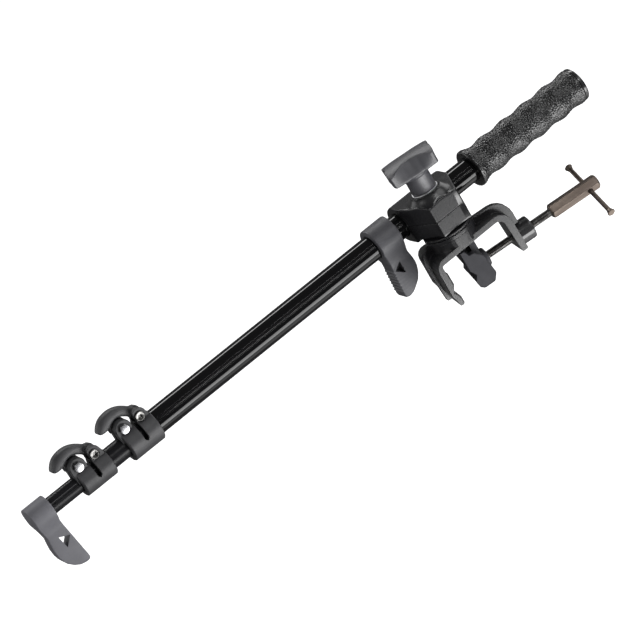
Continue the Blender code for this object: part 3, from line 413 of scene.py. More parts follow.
@dataclass(frozen=True)
class Finish:
    """How a surface was made and how it meets the eye.

    The colour wanders between two tones in soft patches, the roughness follows a finer noise,
    and a grain of a real size in millimetres lifts the surface a little. A moulded or cast edge
    is shaded as if it were rounded to its radius in millimetres.
    """

    name: str
    slot: Slot
    tones: tuple[str, str]
    roughness: Pair
    metallic: float = 0.0
    patch_mm: float = 14.0
    grain_mm: float = 0.5
    grain_height_mm: float = 0.01
    stretch: Point = (1.0, 1.0, 1.0)
    cells: bool = False
    coat: float = 0.0
    coat_roughness: float = 0.2
    specular: float = 0.5
    edge_mm: float = 0.0

    def coordinates(self, tree: bpy.types.NodeTree, size_mm: float) -> bpy.types.NodeSocket:
        """Object coordinates in the boom's direction, in units of one pattern size.

        Args:
            tree: the material's node tree.
            size_mm: the pattern's size.

        Returns:
            The coordinates' socket.
        """
        source = add_node(tree, "ShaderNodeTexCoord")
        scale = tuple(1 / (MM * size_mm * s) for s in self.stretch)
        turn = ARM.rotation.to_euler().z
        straight = add_node(tree, "ShaderNodeMapping", {0: source.outputs["Object"],
                                                        "Rotation": (0.0, 0.0, -turn)})
        return add_node(tree, "ShaderNodeMapping", {0: straight.outputs[0], "Scale": scale}).outputs[0]

    def material(self) -> bpy.types.Material:
        """Make the finish's material, once.

        Returns:
            The material.
        """
        if self.name in bpy.data.materials:
            return bpy.data.materials[self.name]
        material = bpy.data.materials.new(self.name)
        material.use_nodes = True
        tree = material.node_tree
        tree.nodes.clear()
        patches = add_node(tree, "ShaderNodeTexNoise", {"Vector": self.coordinates(tree, self.patch_mm),
                                                        "Scale": 1.0, "Detail": 3.0})
        tone = add_node(tree, "ShaderNodeValToRGB", {"Fac": patches.outputs["Fac"]})
        for stop, place, colour in zip(tone.color_ramp.elements, TONE_STOPS, self.tones):
            stop.position = place
            stop.color = linear(colour)
        fine = self.coordinates(tree, self.grain_mm)
        if self.cells:
            grain = add_node(tree, "ShaderNodeTexVoronoi", {"Vector": fine, "Scale": 1.0},
                             feature="SMOOTH_F1").outputs["Distance"]
        else:
            grain = add_node(tree, "ShaderNodeTexNoise", {"Vector": fine, "Scale": 1.0,
                                                          "Detail": 4.0}).outputs["Fac"]
        (low, high), (least, most) = NOISE_SPREAD, self.roughness
        rough = add_node(tree, "ShaderNodeMapRange", {"Value": grain, "From Min": low, "From Max": high,
                                                      "To Min": least, "To Max": most})
        relief = {"Height": grain, "Strength": 1.0, "Distance": self.grain_height_mm * MM}
        if self.edge_mm:
            rounded = add_node(tree, "ShaderNodeBevel", {"Radius": self.edge_mm * MM}, samples=6)
            relief["Normal"] = rounded.outputs["Normal"]
        bump = add_node(tree, "ShaderNodeBump", relief)
        shader = add_node(tree, "ShaderNodeBsdfPrincipled", {
            "Base Color": tone.outputs["Color"], "Roughness": rough.outputs["Result"],
            "Normal": bump.outputs["Normal"], "Metallic": self.metallic, "Coat Weight": self.coat,
            "Coat Roughness": self.coat_roughness, "Specular IOR Level": self.specular})
        add_node(tree, "ShaderNodeOutputMaterial", {"Surface": shader.outputs["BSDF"]})
        return material

    def dress(self, piece: bpy.types.Object, body: str, *nodes: str) -> None:
        """Give a piece this finish, its body and the CAD nodes that it stands for.

        Args:
            piece: the object.
            body: the CAD body that it moves with.
            nodes: the CAD nodes that it replaces.
        """
        piece.data.materials.clear()
        piece.data.materials.append(self.material())
        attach(piece, body)
        if nodes:
            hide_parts(*nodes)
        LOG.info("%s: %s on %s", piece.name, self.name, body)

    def repaint(self, *nodes: str) -> None:
        """Give CAD nodes that keep their shape this finish."""
        for node in nodes:
            piece = frame["nodes"][node]
            piece.data.materials.clear()
            piece.data.materials.append(self.material())
            LOG.info("%s keeps its shape: %s", node, self.name)


# Powder-coated zinc casting: half gloss with a fine orange peel, so each facet takes light as a whole
CAST_PAINT = Finish("powder_coated_zinc_casting", Slot.CAST_PAINT, ("#111113", "#19191b"), (0.25, 0.33),
                    grain_mm=0.55, grain_height_mm=0.01, specular=0.62, edge_mm=0.6)
# Bright zinc plate on turned steel: light grey with soft reflections of the lamps
ZINC_STEEL = Finish("bright_zinc_plated_steel", Slot.ZINC_STEEL, ("#98989b", "#b0b0b3"), (0.24, 0.36), 1.0,
                    patch_mm=5.0, grain_mm=0.2, grain_height_mm=0.002)
# Nickel-plated washer: the one pale line on the black arm
WASHER_NICKEL = Finish("bright_nickel_plated_steel", Slot.ZINC_STEEL, ("#e8e8ea", "#f6f6f7"), (0.42, 0.5),
                       1.0, patch_mm=5.0, grain_mm=0.2, grain_height_mm=0.002)
# Rolled steel thread left oily: dark flanks and grey crests
THREAD_STEEL = Finish("oiled_rolled_steel", Slot.ZINC_STEEL, ("#5c5b5a", "#8a8987"), (0.2, 0.34), 1.0,
                      patch_mm=6.0, grain_mm=0.3, grain_height_mm=0.003)
# Hot-blackened hexagon bar: brown-grey with drawing lines along it
BLACKENED_STEEL = Finish("hot_blackened_drawn_steel", Slot.BLACKENED_STEEL, ("#5c534d", "#71675f"),
                         (0.4, 0.5), 1.0, patch_mm=8.0, grain_mm=0.25, grain_height_mm=0.004,
                         stretch=(14.0, 1.0, 1.0))
# Gloss black anodised tube, whose dyed layer hides the metal: hard narrow streaks of light along it
GLOSS_TUBE = Finish("gloss_black_anodised_aluminium", Slot.GLOSS_TUBE, ("#0c0c0d", "#121213"), (0.06, 0.1),
                    patch_mm=30.0, grain_mm=0.3, grain_height_mm=0.0012, stretch=(40.0, 1.0, 1.0),
                    specular=0.25)
# Satin black anodised tube: the same streaks, wider and duller
SATIN_TUBE = Finish("satin_black_anodised_aluminium", Slot.SATIN_TUBE, ("#18181a", "#1e1e20"), (0.24, 0.32),
                    patch_mm=30.0, grain_mm=0.3, grain_height_mm=0.003, stretch=(30.0, 1.0, 1.0),
                    specular=0.14)
# Glass-filled nylon knob: charcoal with a spark-eroded mould's fine matt
KNOB_NYLON = Finish("spark_eroded_charcoal_nylon", Slot.KNOB_NYLON, ("#353539", "#3e3e42"), (0.42, 0.52),
                    grain_mm=0.4, grain_height_mm=0.012, specular=0.7, edge_mm=0.5)
# Moulded nylon jaw: even dark grey, nearly without shine
JAW_NYLON = Finish("moulded_grey_nylon", Slot.JAW_NYLON, ("#2a2a2e", "#333337"), (0.6, 0.72),
                   grain_mm=0.6, grain_height_mm=0.015, specular=0.3)
# Moulded grey nylon hooks: the palest of the plastics, satin
HOOK_NYLON = Finish("satin_grey_nylon", Slot.HOOK_NYLON, ("#5c5c61", "#66666b"), (0.5, 0.62),
                    patch_mm=22.0, grain_mm=0.5, grain_height_mm=0.012, specular=0.35)
# Sliding hook's nylon: a darker shade of the same moulding
DARK_HOOK_NYLON = Finish("satin_charcoal_nylon", Slot.HOOK_NYLON, ("#3f3f43", "#4a4a4e"), (0.46, 0.58),
                         patch_mm=22.0, grain_mm=0.5, grain_height_mm=0.012)
# Black glass-filled nylon collars and levers: fine sparkle from the mould's texture
BLACK_NYLON = Finish("textured_black_nylon", Slot.BLACK_NYLON, ("#303032", "#3a3a3c"), (0.46, 0.58),
                     grain_mm=0.6, grain_height_mm=0.02, specular=0.45, edge_mm=0.4)
# Gloss black nylon cap: one clear line of light round its rolled rim
GLOSS_BLACK = Finish("gloss_black_nylon", Slot.BLACK_NYLON, ("#1a1a1b", "#222223"), (0.18, 0.26),
                     grain_mm=0.6, grain_height_mm=0.004, coat=0.3)
# Leather-look skin over foam: cells of two millimetres, coarser than the real one's so that they show
GRIP_SKIN = Finish("embossed_leather_look_skin", Slot.GRIP_SKIN, ("#0b0b0c", "#171718"), (0.25, 0.4),
                   patch_mm=3.0, grain_mm=2.1, grain_height_mm=0.2, cells=True, specular=0.6)


@dataclass
class KnobPiece:
    """The four-lobed knob: a vaulted top on a waist that flares to a straight lower edge.

    The neck's rows are radius and height. The lip's rows are a share of the lower edge's outline
    and a height from it. The shares place the rings between two outlines, and the turns, in
    degrees, those of the rim. The washer's rows are radius, height and the corner's radius.
    """

    quarter: tuple[Point, ...] = (
        (22.8, 0.0, 1.6), (24.9, 4.6, 1.6), (24.9, 19.6, 4.6), (16.4, 15.2, 5.0), (8.6, 11.6, 9.0),
        (0.0, 10.5, 9.0))
    spacing: float = 0.75
    neck: Chain = ((3.66, 26.2), (11.7, 26.2), (12.2, 26.7), (12.2, 41.8), (12.7, 43.0), (13.6, 43.4))
    lip: Chain = ((0.95, -1.4), (0.985, -1.0), (1.0, 0.0))
    wall_low: float = 47.4
    foot_x: float = 0.97
    foot_y: float = 15.2
    foot_end: float = 0.86
    foot_middle: float = 0.62
    ridge: float = 64.2
    vault: float = 0.0143
    end_fall: float = 0.0016
    rim: float = 1.1
    skew: float = 0.1
    skew_run: float = 6.0
    underside_shares: tuple[float, ...] = (0.35, 0.7, 1.0)
    wall_shares: tuple[float, ...] = (0.15, 0.35, 0.55, 0.75, 0.9, 1.0)
    rim_turns: tuple[float, ...] = (25.0, 50.0, 75.0, 90.0)
    top_shares: tuple[float, ...] = (0.93, 0.86, 0.78, 0.68, 0.56, 0.44, 0.32, 0.2, 0.1, POLE)
    washer: tuple[Point, ...] = ((5.8, 25.0, 0.0), (13.2, 25.0, 0.3), (13.2, 25.9, 0.3), (5.8, 25.9, 0.0))

    def outline(self) -> np.ndarray:
        """Mirror the quarter's corners to the whole plan, round them and divide it evenly.

        Returns:
            Rows of the two coordinates.
        """
        first = list(self.quarter)
        second = [(-x, y, r) for x, y, r in reversed(first[:-1])]
        third = [(-x, -y, r) for x, y, r in first[1:]]
        fourth = [(x, -y, r) for x, y, r in reversed(first[1:-1])]
        return even_outline(first + second + third + fourth, self.spacing)

    def top(self, x: np.ndarray, y: np.ndarray) -> np.ndarray:
        """The top's height: it falls with the square of the distance from the knob's long line."""
        return self.ridge - self.vault * y * y - self.end_fall * x * x

    def grid(self) -> np.ndarray:
        """Rings from the neck's foot, along the underside, up the wall and in over the top.

        The rings between two outlines mix them by a share s, and the rim is a quarter circle.
        The rows above the neck lean by the skew times the distance across.

        Returns:
            A grid of points, one row for each ring.
        """
        plan = self.outline()
        x, y = plan.T
        distance = np.hypot(x, y)[:, None]
        circle = plan / distance
        middle = self.foot_middle * (1 - np.clip(np.abs(x) / self.quarter[1][0], 0, 1))
        foot_y = np.sign(y) * np.minimum(self.foot_y, np.abs(y) * (self.foot_end + middle))
        foot = np.stack([x * self.foot_x, foot_y], 1)
        flat = np.ones(len(plan))
        rows = [(circle * radius, flat * height) for radius, height in self.neck]
        inner, underside = rows[-1]
        share, drop = self.lip[0]
        rows += [(inner * (1 - s) + foot * share * s, underside * (1 - s) + (self.wall_low + drop) * s)
                 for s in self.underside_shares]
        rows += [(foot * share, flat * (self.wall_low + drop)) for share, drop in self.lip[1:]]
        edge = self.top(x, y)
        rows += [(foot * (1 - s) + plan * s, self.wall_low * (1 - s) + (edge - self.rim) * s)
                 for s in self.wall_shares]
        rows += [(plan - circle * self.rim * (1 - math.cos(turn)), edge - self.rim * (1 - math.sin(turn)))
                 for turn in np.radians(self.rim_turns)]
        inside = plan - circle * self.rim
        rows += [(inside * s, self.top(*(inside * s).T)) for s in self.top_shares]
        grid = np.stack([np.column_stack(row) for row in rows])
        lean = smooth_step((grid[..., 2] - self.neck[-1][1]) / self.skew_run)
        grid[..., 0] += self.skew * grid[..., 1] * lean
        return grid

    def build(self) -> None:
        """Make the knob, and the bright washer that shows under its neck."""
        place = ARM.shifted(0.0, 0.0, 0.0, KNOB_TURN)
        KNOB_NYLON.dress(skin_piece("knob_four_lobed", self.grid(), place, sharp=60.0), "knob", "knob")
        rows = turned(rounded_profile(self.washer), Axis.Z, RIM_STEPS)
        washer = skin_piece("knob_washer_bright", rows, ARM, ring=True)
        WASHER_NICKEL.dress(washer, "knob_lift", "knob_washer")
        ZINC_STEEL.repaint("knob_insert")


@dataclass
class GripHead:
    """The two castings that close on the boom, with a parting line between them."""

    plan: Chain = ((-26.5, 50.0), (-26.5, 16.0), (-14.8, -21.0), (18.6, -21.0), (34.0, 16.0), (34.0, 50.0))
    corner: float = 1.6
    spacing: float = 1.6
    housing: float = 19.0
    housing_run: float = 19.5
    front_top: float = 16.0
    front_y: float = -21.0
    front_run: float = 37.0
    collar_radius: float = 14.6
    collar_top: float = 24.7
    collar_limit: float = 0.9
    swell: float = 4.6
    bottom: float = -16.2
    bottom_radius: float = 25.4
    belly_radius: float = 25.5
    belly_run: float = 7.0
    parting: float = 0.15
    parting_bevel: float = 0.35
    edge: float = 1.1
    edge_turns: tuple[float, ...] = (0.0, 30.0, 60.0, 90.0)
    boom_bore: float = 13.0
    stud_bore: float = 5.6
    through: Pair = (-60.0, 60.0)

    def outline(self) -> np.ndarray:
        """The plan: straight sides with rounded corners, divided into even steps."""
        return even_outline([(x, y, self.corner) for x, y in self.plan], self.spacing)

    def housing_height(self, y: np.ndarray) -> np.ndarray:
        """Half height of the boom's housing: level up to the boom's axis and an arc behind it."""
        behind = np.clip((y - BOOM_Y) / self.housing_run, 0.0, 1.0)
        return self.housing * np.sqrt(1 - behind ** 2)

    def top_height(self, x: np.ndarray, y: np.ndarray) -> np.ndarray:
        """The top: it rises gently to the housing and swells up to the knob's collar by a bell curve.

        Args:
            x: places along the boom.
            y: places across it.

        Returns:
            The height at each.
        """
        rise = np.clip((y - self.front_y) / self.front_run, 0, 1)
        base = np.minimum(self.front_top + (self.housing - self.front_top) * rise, self.housing_height(y))
        away = np.clip(np.hypot(x, y) - self.collar_radius, 0, None)
        return base + (self.collar_top - base) * np.exp(-(away / self.swell) ** 2)

    def bottom_height(self, x: np.ndarray, y: np.ndarray) -> np.ndarray:
        """The underside: flat over the toothed disc, and the housing's belly behind it.

        Args:
            x: places along the boom.
            y: places across it.

        Returns:
            The height at each.
        """
        share = (np.hypot(x, y) - self.belly_radius) / self.belly_run
        drop = (self.housing + self.bottom) * smooth_step(share)
        return np.maximum(self.bottom - drop, -self.housing_height(y))

    def half(self, name: str, upper: bool) -> bpy.types.Object:
        """One casting: rings from its parting face, up the sides and in to the swivel's axis.

        The edge between side and top is a quarter circle. The rings on the top mix the plan and
        the flat round the axis by a share.

        Args:
            name: the piece's name.
            upper: whether it is the half under the knob.

        Returns:
            The casting.
        """
        sign = 1 if upper else -1
        height = self.top_height if upper else self.bottom_height
        plan = self.outline()
        distance = np.hypot(*plan.T)[:, None]
        outward = plan / distance
        end = self.collar_radius if upper else self.bottom_radius
        circle = outward * np.minimum(end, self.collar_limit * distance)
        side = height(*plan.T) - sign * self.edge
        low = np.full(len(plan), self.parting * sign)
        rows = [(plan * POLE, low), (plan - outward * self.parting_bevel, low),
                (plan, low + sign * self.parting_bevel), (plan, side - sign * self.edge)]
        rows += [(plan - outward * self.edge * (1 - math.cos(turn)), side + sign * self.edge * math.sin(turn))
                 for turn in np.radians(self.edge_turns)]
        wide, fine = np.linspace(0.08, 0.7, 8), np.linspace(0.74, 1.0, 12)
        for share in (*wide, *fine):
            flat = (plan - outward * self.edge) * (1 - share) + circle * share
            rows.append((flat, height(*flat.T)))
        rows.append((circle * POLE, np.full(len(plan), rows[-1][1].mean())))
        piece = skin_piece(name, np.stack([np.column_stack(row) for row in rows]), ARM, sharp=40.0)
        drill(piece, self.boom_bore, Axis.X, self.through, BOOM)
        drill(piece, self.stud_bore, Axis.Z, self.through, ARM)
        return piece

    def build(self) -> None:
        """Make both halves."""
        CAST_PAINT.dress(self.half("head_casting_upper", True), "head", "head_upper_half")
        CAST_PAINT.dress(self.half("head_casting_lower", False), "head", "head_lower_half")


@dataclass
class Swivel:
    """The two rings of face teeth that lock the head on the clamp, and the stud through them."""

    teeth: int = 60
    points_per_tooth: int = 4
    radius: float = 24.9
    bore: float = 5.6
    middle: float = 29.2
    tooth_height: float = 1.2
    tooth_length: float = 5.0
    rim: float = 0.15
    chamfer: float = 0.3
    clearance: float = 0.1
    clamp_foot: float = 25.3
    head_top: float = 31.5

    def ring(self, name: str, upper: bool) -> bpy.types.Object:
        """One ring, whose toothed face is a triangle wave round the axis, deepest at the rim.

        The wave stays on the ring's own side of the middle, so the rings pass each other as the
        head turns.

        Args:
            name: the piece's name.
            upper: whether it is the head's ring.

        Returns:
            The ring.
        """
        columns = self.teeth * self.points_per_tooth
        wave = np.abs((bearings(columns) * self.teeth / TURN) % 1.0 * 2 - 1) - 0.5
        side = 1 if upper else -1
        back = self.head_top if upper else self.clamp_foot
        root = self.radius - self.tooth_length
        rows = []
        for radius in (self.bore, root, self.radius - self.rim, self.radius):
            depth = self.tooth_height * max(0.0, (radius - root) / self.tooth_length)
            rows.append((radius, self.middle + side * (self.clearance + depth) / 2 + wave * depth))
        rows += [(self.radius, back - side * self.chamfer), (self.radius - self.chamfer, back),
                 (self.bore, back)]
        swivel = Place((ARM.origin[0], ARM.origin[1], 0.0))
        return skin_piece(name, turned(rows, Axis.Z, columns), swivel, sharp=25.0, ring=True)

    def build(self) -> None:
        """Make both rings."""
        CAST_PAINT.dress(self.ring("clamp_face_teeth", False), "clamp", "clamp_rosette")
        CAST_PAINT.dress(self.ring("head_face_teeth", True), "head", "head_rosette")
        ZINC_STEEL.repaint("swivel_stud")


@dataclass
class ScrewClamp:
    """The cast frame and its jaws, with the threaded spindle, the barrel and the tommy bar."""

    pitch: float = 1.25
    thread_radius: float = 4.0
    thread_depth: float = 0.75
    tip: float = 33.6
    tip_share: float = 0.72
    tip_chamfer: float = 1.2
    crest_cut: float = 1.25
    flank: float = 1.6
    thread_end: float = 130.9
    samples_per_pitch: int = 6
    segments: int = 36
    foot: Chain = ((-6.4, -21.0), (-5.6, -25.6), (-4.7, -31.1), (-1.2, -31.1), (-1.2, -24.0))
    foot_half: float = 29.6

    def thread_grid(self) -> np.ndarray:
        """The thread: its radius falls and rises once a pitch, cut level at crest and root.

        The wave moves on by one pitch in a turn, and the tip is chamfered.

        Returns:
            A grid of points, one row for each place along the spindle.
        """
        count = int((self.thread_end - self.tip) / self.pitch * self.samples_per_pitch)
        along = np.linspace(self.tip, self.thread_end, count)[:, None]
        angle = bearings(self.segments)
        phase = (along / self.pitch - angle / TURN) % 1.0
        valley = np.clip(self.crest_cut - np.abs(phase * 2 - 1) * self.flank, 0.0, 1.0)
        chamfer = np.clip((along - self.tip) / self.tip_chamfer, 0.0, 1.0)
        taper = self.tip_share + (1 - self.tip_share) * chamfer
        return around(Axis.X, (self.thread_radius - self.thread_depth * valley) * taper, along, angle)

    def build(self) -> None:
        """Dress the clamp from the frame out to the tommy bar's ends."""
        CAST_PAINT.repaint("clamp_frame")
        rows = np.array([[(x, y, z) for x, z in self.foot] for y in (-self.foot_half, self.foot_half)])
        CAST_PAINT.dress(skin_piece("clamp_jaw_foot", rows, WORLD, sharp=20.0), "clamp")
        JAW_NYLON.dress(softened("moving_jaw", width=0.4), "jaw", "moving_jaw")
        pad = softened("fixed_jaw_pad", width=0.15, segments=2)
        BLACK_NYLON.dress(pad, "clamp", "fixed_jaw_pad")
        thread = skin_piece("spindle_thread", self.thread_grid(), SCREW, sharp=60.0)
        THREAD_STEEL.dress(thread, "spindle", "spindle")
        BLACKENED_STEEL.dress(softened("spindle_barrel", width=0.35), "spindle", "spindle_barrel")
        THREAD_STEEL.repaint("spindle_clip")
        BLACKENED_STEEL.repaint("tommy_bar", "tommy_bar_end_near", "tommy_bar_end_far")


@dataclass
class HandGrip:
    """The waved grip with its embossed skin, and the ringed cap on its end.

    The inset is the skin's distance from each end. The cap's rows are radius, distance beyond the
    grip's right end and the corner's radius.
    """

    left: float = 61.7
    right: float = 196.5
    radius: float = 16.9
    waves: int = 5
    wave_height: float = 0.9
    collar_flare: float = 1.3
    collar_share: float = 0.14
    end_flare: float = 0.4
    bead: float = 0.7
    bead_at: float = 0.02
    bead_width: float = 0.03
    bore: float = MAIN_RADIUS + 0.3
    inset: Pair = (1.0, 0.6)
    cap: tuple[Point, ...] = (
        (0.05, -12.0, 0.0), (10.6, -12.0, 0.4), (10.6, 0.3, 0.0), (17.7, 0.3, 0.6), (17.7, 4.4, 1.2),
        (14.4, 4.4, 0.9), (13.6, 3.2, 0.6), (0.05, 3.2, 0.0))
    rows: int = 300
    columns: int = 220
    grain_height: float = 0.2
    grain_limit: float = 1.6
    grain_fade: float = 0.02
    grain_mm: Pair = (1.7, 3.6)
    seed: int = 7

    def grain(self) -> np.ndarray:
        """White noise kept only between two wavelengths: the skin's small cells.

        Returns:
            A height of unit spread for each point of the skin.
        """
        noise = np.random.default_rng(self.seed).standard_normal((self.rows, self.columns))
        length, girth = self.right - self.left, TURN * self.radius
        lengthwise = np.fft.fftfreq(self.rows, length / self.rows)[:, None]
        crosswise = np.fft.fftfreq(self.columns, girth / self.columns)[None, :]
        frequency = np.hypot(lengthwise, crosswise)
        kept = (frequency > 1 / self.grain_mm[1]) & (frequency < 1 / self.grain_mm[0])
        grain = np.real(np.fft.ifft2(np.fft.fft2(noise) * kept))
        return np.clip(grain / grain.std(), -self.grain_limit, self.grain_limit)

    def grid(self) -> np.ndarray:
        """A flared collar with a bead, cosine waves along the grip, and the bore, as a closed ring.

        Returns:
            A grid of points, one row for each place along the grip.
        """
        share = np.linspace(0, 1, self.rows)
        flare = self.collar_flare * (1 - smooth_step(share / self.collar_share)) + self.end_flare * share
        bead = self.bead * np.exp(-((share - self.bead_at) / self.bead_width) ** 2)
        radius = self.radius + self.wave_height * np.cos(TURN * self.waves * share) + flare + bead
        fade = np.clip(np.minimum(share, 1 - share) / self.grain_fade, 0, 1)[:, None]
        skin = radius[:, None] + self.grain() * self.grain_height * fade
        length = self.right - self.left - sum(self.inset)
        along = self.left + self.inset[0] + length * share[:, None]
        body = around(Axis.X, skin, along, bearings(self.columns))
        collar = [(self.bore, self.left + 0.4), (radius[0] - 2.2, self.left),
                  (radius[0] - 0.6, self.left + 0.3)]
        end = [(radius[-1] - 0.6, self.right - 0.1), (self.bore, self.right)]
        return np.concatenate([turned(collar, Axis.X, self.columns), body, turned(end, Axis.X, self.columns)])

    def build(self) -> None:
        """Make the grip, then the cap and its rolled rim."""
        skin = skin_piece("grip_leather_look", self.grid(), BOOM, sharp=70.0, ring=True)
        GRIP_SKIN.dress(skin, "boom", "grip")
        corners = [(radius, self.right + beyond, corner) for radius, beyond, corner in self.cap]
        rows = turned(rounded_profile(corners, steps=6), Axis.X, RIM_STEPS)
        cap = skin_piece("grip_cap_rolled", rows, BOOM, sharp=40.0)
        GLOSS_BLACK.dress(cap, "boom", "grip_end_cap")


@dataclass
class DrawnTube:
    """One tube of the boom, with a shallow groove on the viewer's side."""

    name: str
    node: str
    body: str
    radius: float
    wall: float
    left: float
    right: float
    finish: Finish
    groove_depth: float = 0.45
    groove_angle: float = math.radians(156.0)
    groove_half: float = math.radians(7.5)
    groove_edge: float = math.radians(2.2)
    groove_lip: float = 0.12
    segments: int = 180

    def section(self, radius: float) -> np.ndarray:
        """A circle's radius, which drops by the groove's depth between two soft, raised edges.

        Args:
            radius: the radius beside the groove.

        Returns:
            The radius at each bearing.
        """
        away = np.abs(np.angle(np.exp(1j * (bearings(self.segments) - self.groove_angle)))) - self.groove_half
        depth = self.groove_depth * (1 - smooth_step(away / self.groove_edge + 1))
        lip = self.groove_lip * np.exp(-(away / self.groove_edge - 1) ** 2) * (self.groove_depth > 0)
        return radius - depth + lip

    def build(self) -> None:
        """Carry the outer section along the boom and the inner one back."""
        outer, inner = self.section(self.radius), self.section(self.radius - self.wall)
        rows = [(outer, self.left), (outer, self.right), (inner, self.right), (inner, self.left)]
        tube = skin_piece(self.name, turned(rows, Axis.X, self.segments), BOOM, sharp=60.0, ring=True)
        self.finish.dress(tube, self.body, self.node)


@dataclass
class HookPiece:
    """A moulded hook: a sleeve on a tube that flows into a flat tongue with a window.

    Each slice at a height is a rounded rectangle. Its ends follow the left and right edges, and
    its half thickness follows the sleeve's rounding above the tube's axis and eases to the
    tongue's below it. The edges' rows are x and height. The bore is a radius, a start and an
    end, and the ribs are a low and a high end and a pitch.
    """

    name: str
    node: str
    body: str
    finish: Finish
    left: Chain
    right: Chain
    sleeve: float
    tongue: float
    ease: float
    bore: Point
    window: Chain
    web: float = 0.0
    ribs: Point = (0.0, 0.0, 1.0)
    rib_depth: float = 0.9
    rib_flank: float = 1.5
    corner: float = 1.3
    corner_share: float = 0.45
    corner_points: int = 6
    tip_run: float = 2.5
    tip_share: float = 0.55
    power: float = 2.0
    step: float = 0.4
    beyond: float = 30.0
    sleeve_rows: int = 26
    first_turn: float = 0.06
    first_drop: float = 0.6
    round_floor: float = 0.00006
    tip_floor: float = 0.05

    def heights(self) -> np.ndarray:
        """Slice heights from the sleeve's top down: the cosine of even turns, then even steps.

        Returns:
            The heights.
        """
        top = self.sleeve * np.cos(np.linspace(self.first_turn, math.pi / 2, self.sleeve_rows))
        tip = self.left[-1][0]
        return np.concatenate([top, np.arange(-self.first_drop, tip, -self.step), [tip]])

    def edge(self, chain: Chain, z: np.ndarray) -> np.ndarray:
        """An edge's place along the boom at each height."""
        at, x = np.array(chain[::-1]).T
        return np.interp(z, at, x)

    def grid(self) -> np.ndarray:
        """Slices from the sleeve's top to the tongue's tip, with a triangle wave along the ribs.

        Returns:
            A grid of points, one row for each slice.
        """
        z = self.heights()
        low, high, pitch = self.ribs
        phase = ((z - low) % pitch) / pitch
        wave = np.clip(1 - np.abs(phase * 2 - 1) * self.rib_flank, 0, 1) * ((z > low) & (z < high))
        left, right = self.edge(self.left, z) - self.rib_depth * wave, self.edge(self.right, z)
        rise = np.clip(z / self.sleeve, 0.0, 1.0) ** self.power
        round_part = self.sleeve * np.clip(1 - rise, self.round_floor, None) ** (1 / self.power)
        flat_part = self.tongue + (self.sleeve - self.tongue) * (1 - smooth_step(-z / self.ease))
        tip = np.clip((z - z[-1]) / self.tip_run, self.tip_floor, 1) ** 0.5
        half = np.where(z >= 0, round_part, flat_part * (self.tip_share + (1 - self.tip_share) * tip))
        middle, reach = (left + right) / 2, (right - left) / 2
        corner = np.minimum(self.corner, self.corner_share * np.minimum(half, reach))
        count = self.corner_points
        arc = np.radians(np.linspace(0, 90, count))
        turn = np.concatenate([arc + k * TURN / 4 for k in range(4)])
        side, face = np.repeat([1, -1, -1, 1], count), np.repeat([1, 1, -1, -1], count)
        across = side * (reach - corner)[:, None] + corner[:, None] * np.cos(turn)
        deep = face * (half - corner)[:, None] + corner[:, None] * np.sin(turn)
        return np.stack([middle[:, None] + across, deep, np.broadcast_to(z[:, None], deep.shape)], -1)

    def build(self) -> None:
        """Make the hook, then cut its bore and its window, from both sides where a web stays."""
        piece = skin_piece(self.name, self.grid(), BOOM, sharp=40.0)
        radius, start, end = self.bore
        drill(piece, radius, Axis.X, (start, end), BOOM)
        cuts = [(-self.beyond, self.beyond)]
        if self.web:
            cuts = [(-self.beyond, -self.web / 2), (self.web / 2, self.beyond)]
        for low, high in cuts:
            rows = [[(x, y, z) for x, z in self.window] for y in (low, high)]
            carve(piece, skin_mesh("window", np.array(rows), BOOM))
        self.finish.dress(piece, self.body, self.node)


END_HOOK = HookPiece(
    "end_hook_smooth", "end_hook", "inner", HOOK_NYLON,
    left=((12.8, -472.7), (-6.0, -472.5), (-14.0, -470.9), (-22.0, -469.8), (-28.0, -470.7), (-34.0, -471.3),
          (-41.0, -471.0), (-46.5, -469.7), (-52.0, -466.9), (-57.0, -462.3), (-60.2, -457.6),
          (-61.8, -453.4), (-62.3, -450.4)),
    right=((12.8, -450.3), (-8.0, -450.3), (-13.0, -450.6), (-57.0, -446.0), (-60.0, -445.9), (-61.5, -446.6),
           (-62.3, -448.4)),
    sleeve=12.8, tongue=6.0, ease=20.0, bore=(8.7, -464.8, -440.0),
    window=((-460.4, -26.0), (-458.4, -39.1), (-450.2, -30.8)), power=2.4)
SLIDING_HOOK = HookPiece(
    "sliding_hook_smooth", "sliding_hook", "sliding_hook", DARK_HOOK_NYLON,
    left=((18.0, -62.0), (-8.0, -62.0), (-15.0, -60.4), (-21.0, -59.2), (-29.0, -60.0), (-54.0, -62.0),
          (-57.4, -61.2), (-58.8, -59.0), (-59.2, -57.0)),
    right=((18.0, -37.0), (-15.0, -37.2), (-20.0, -37.3), (-25.0, -36.2), (-29.0, -35.6), (-34.0, -35.4),
           (-38.0, -35.9), (-44.0, -38.0), (-50.0, -42.0), (-54.0, -47.2), (-57.0, -51.8), (-58.8, -54.4),
           (-59.2, -55.4)),
    sleeve=18.0, tongue=9.0, ease=26.0, bore=(12.8, -80.0, -20.0),
    window=((-49.1, -23.7), (-49.2, -37.0), (-58.0, -29.6)), web=1.2, ribs=(-52.0, -28.2, 3.4))


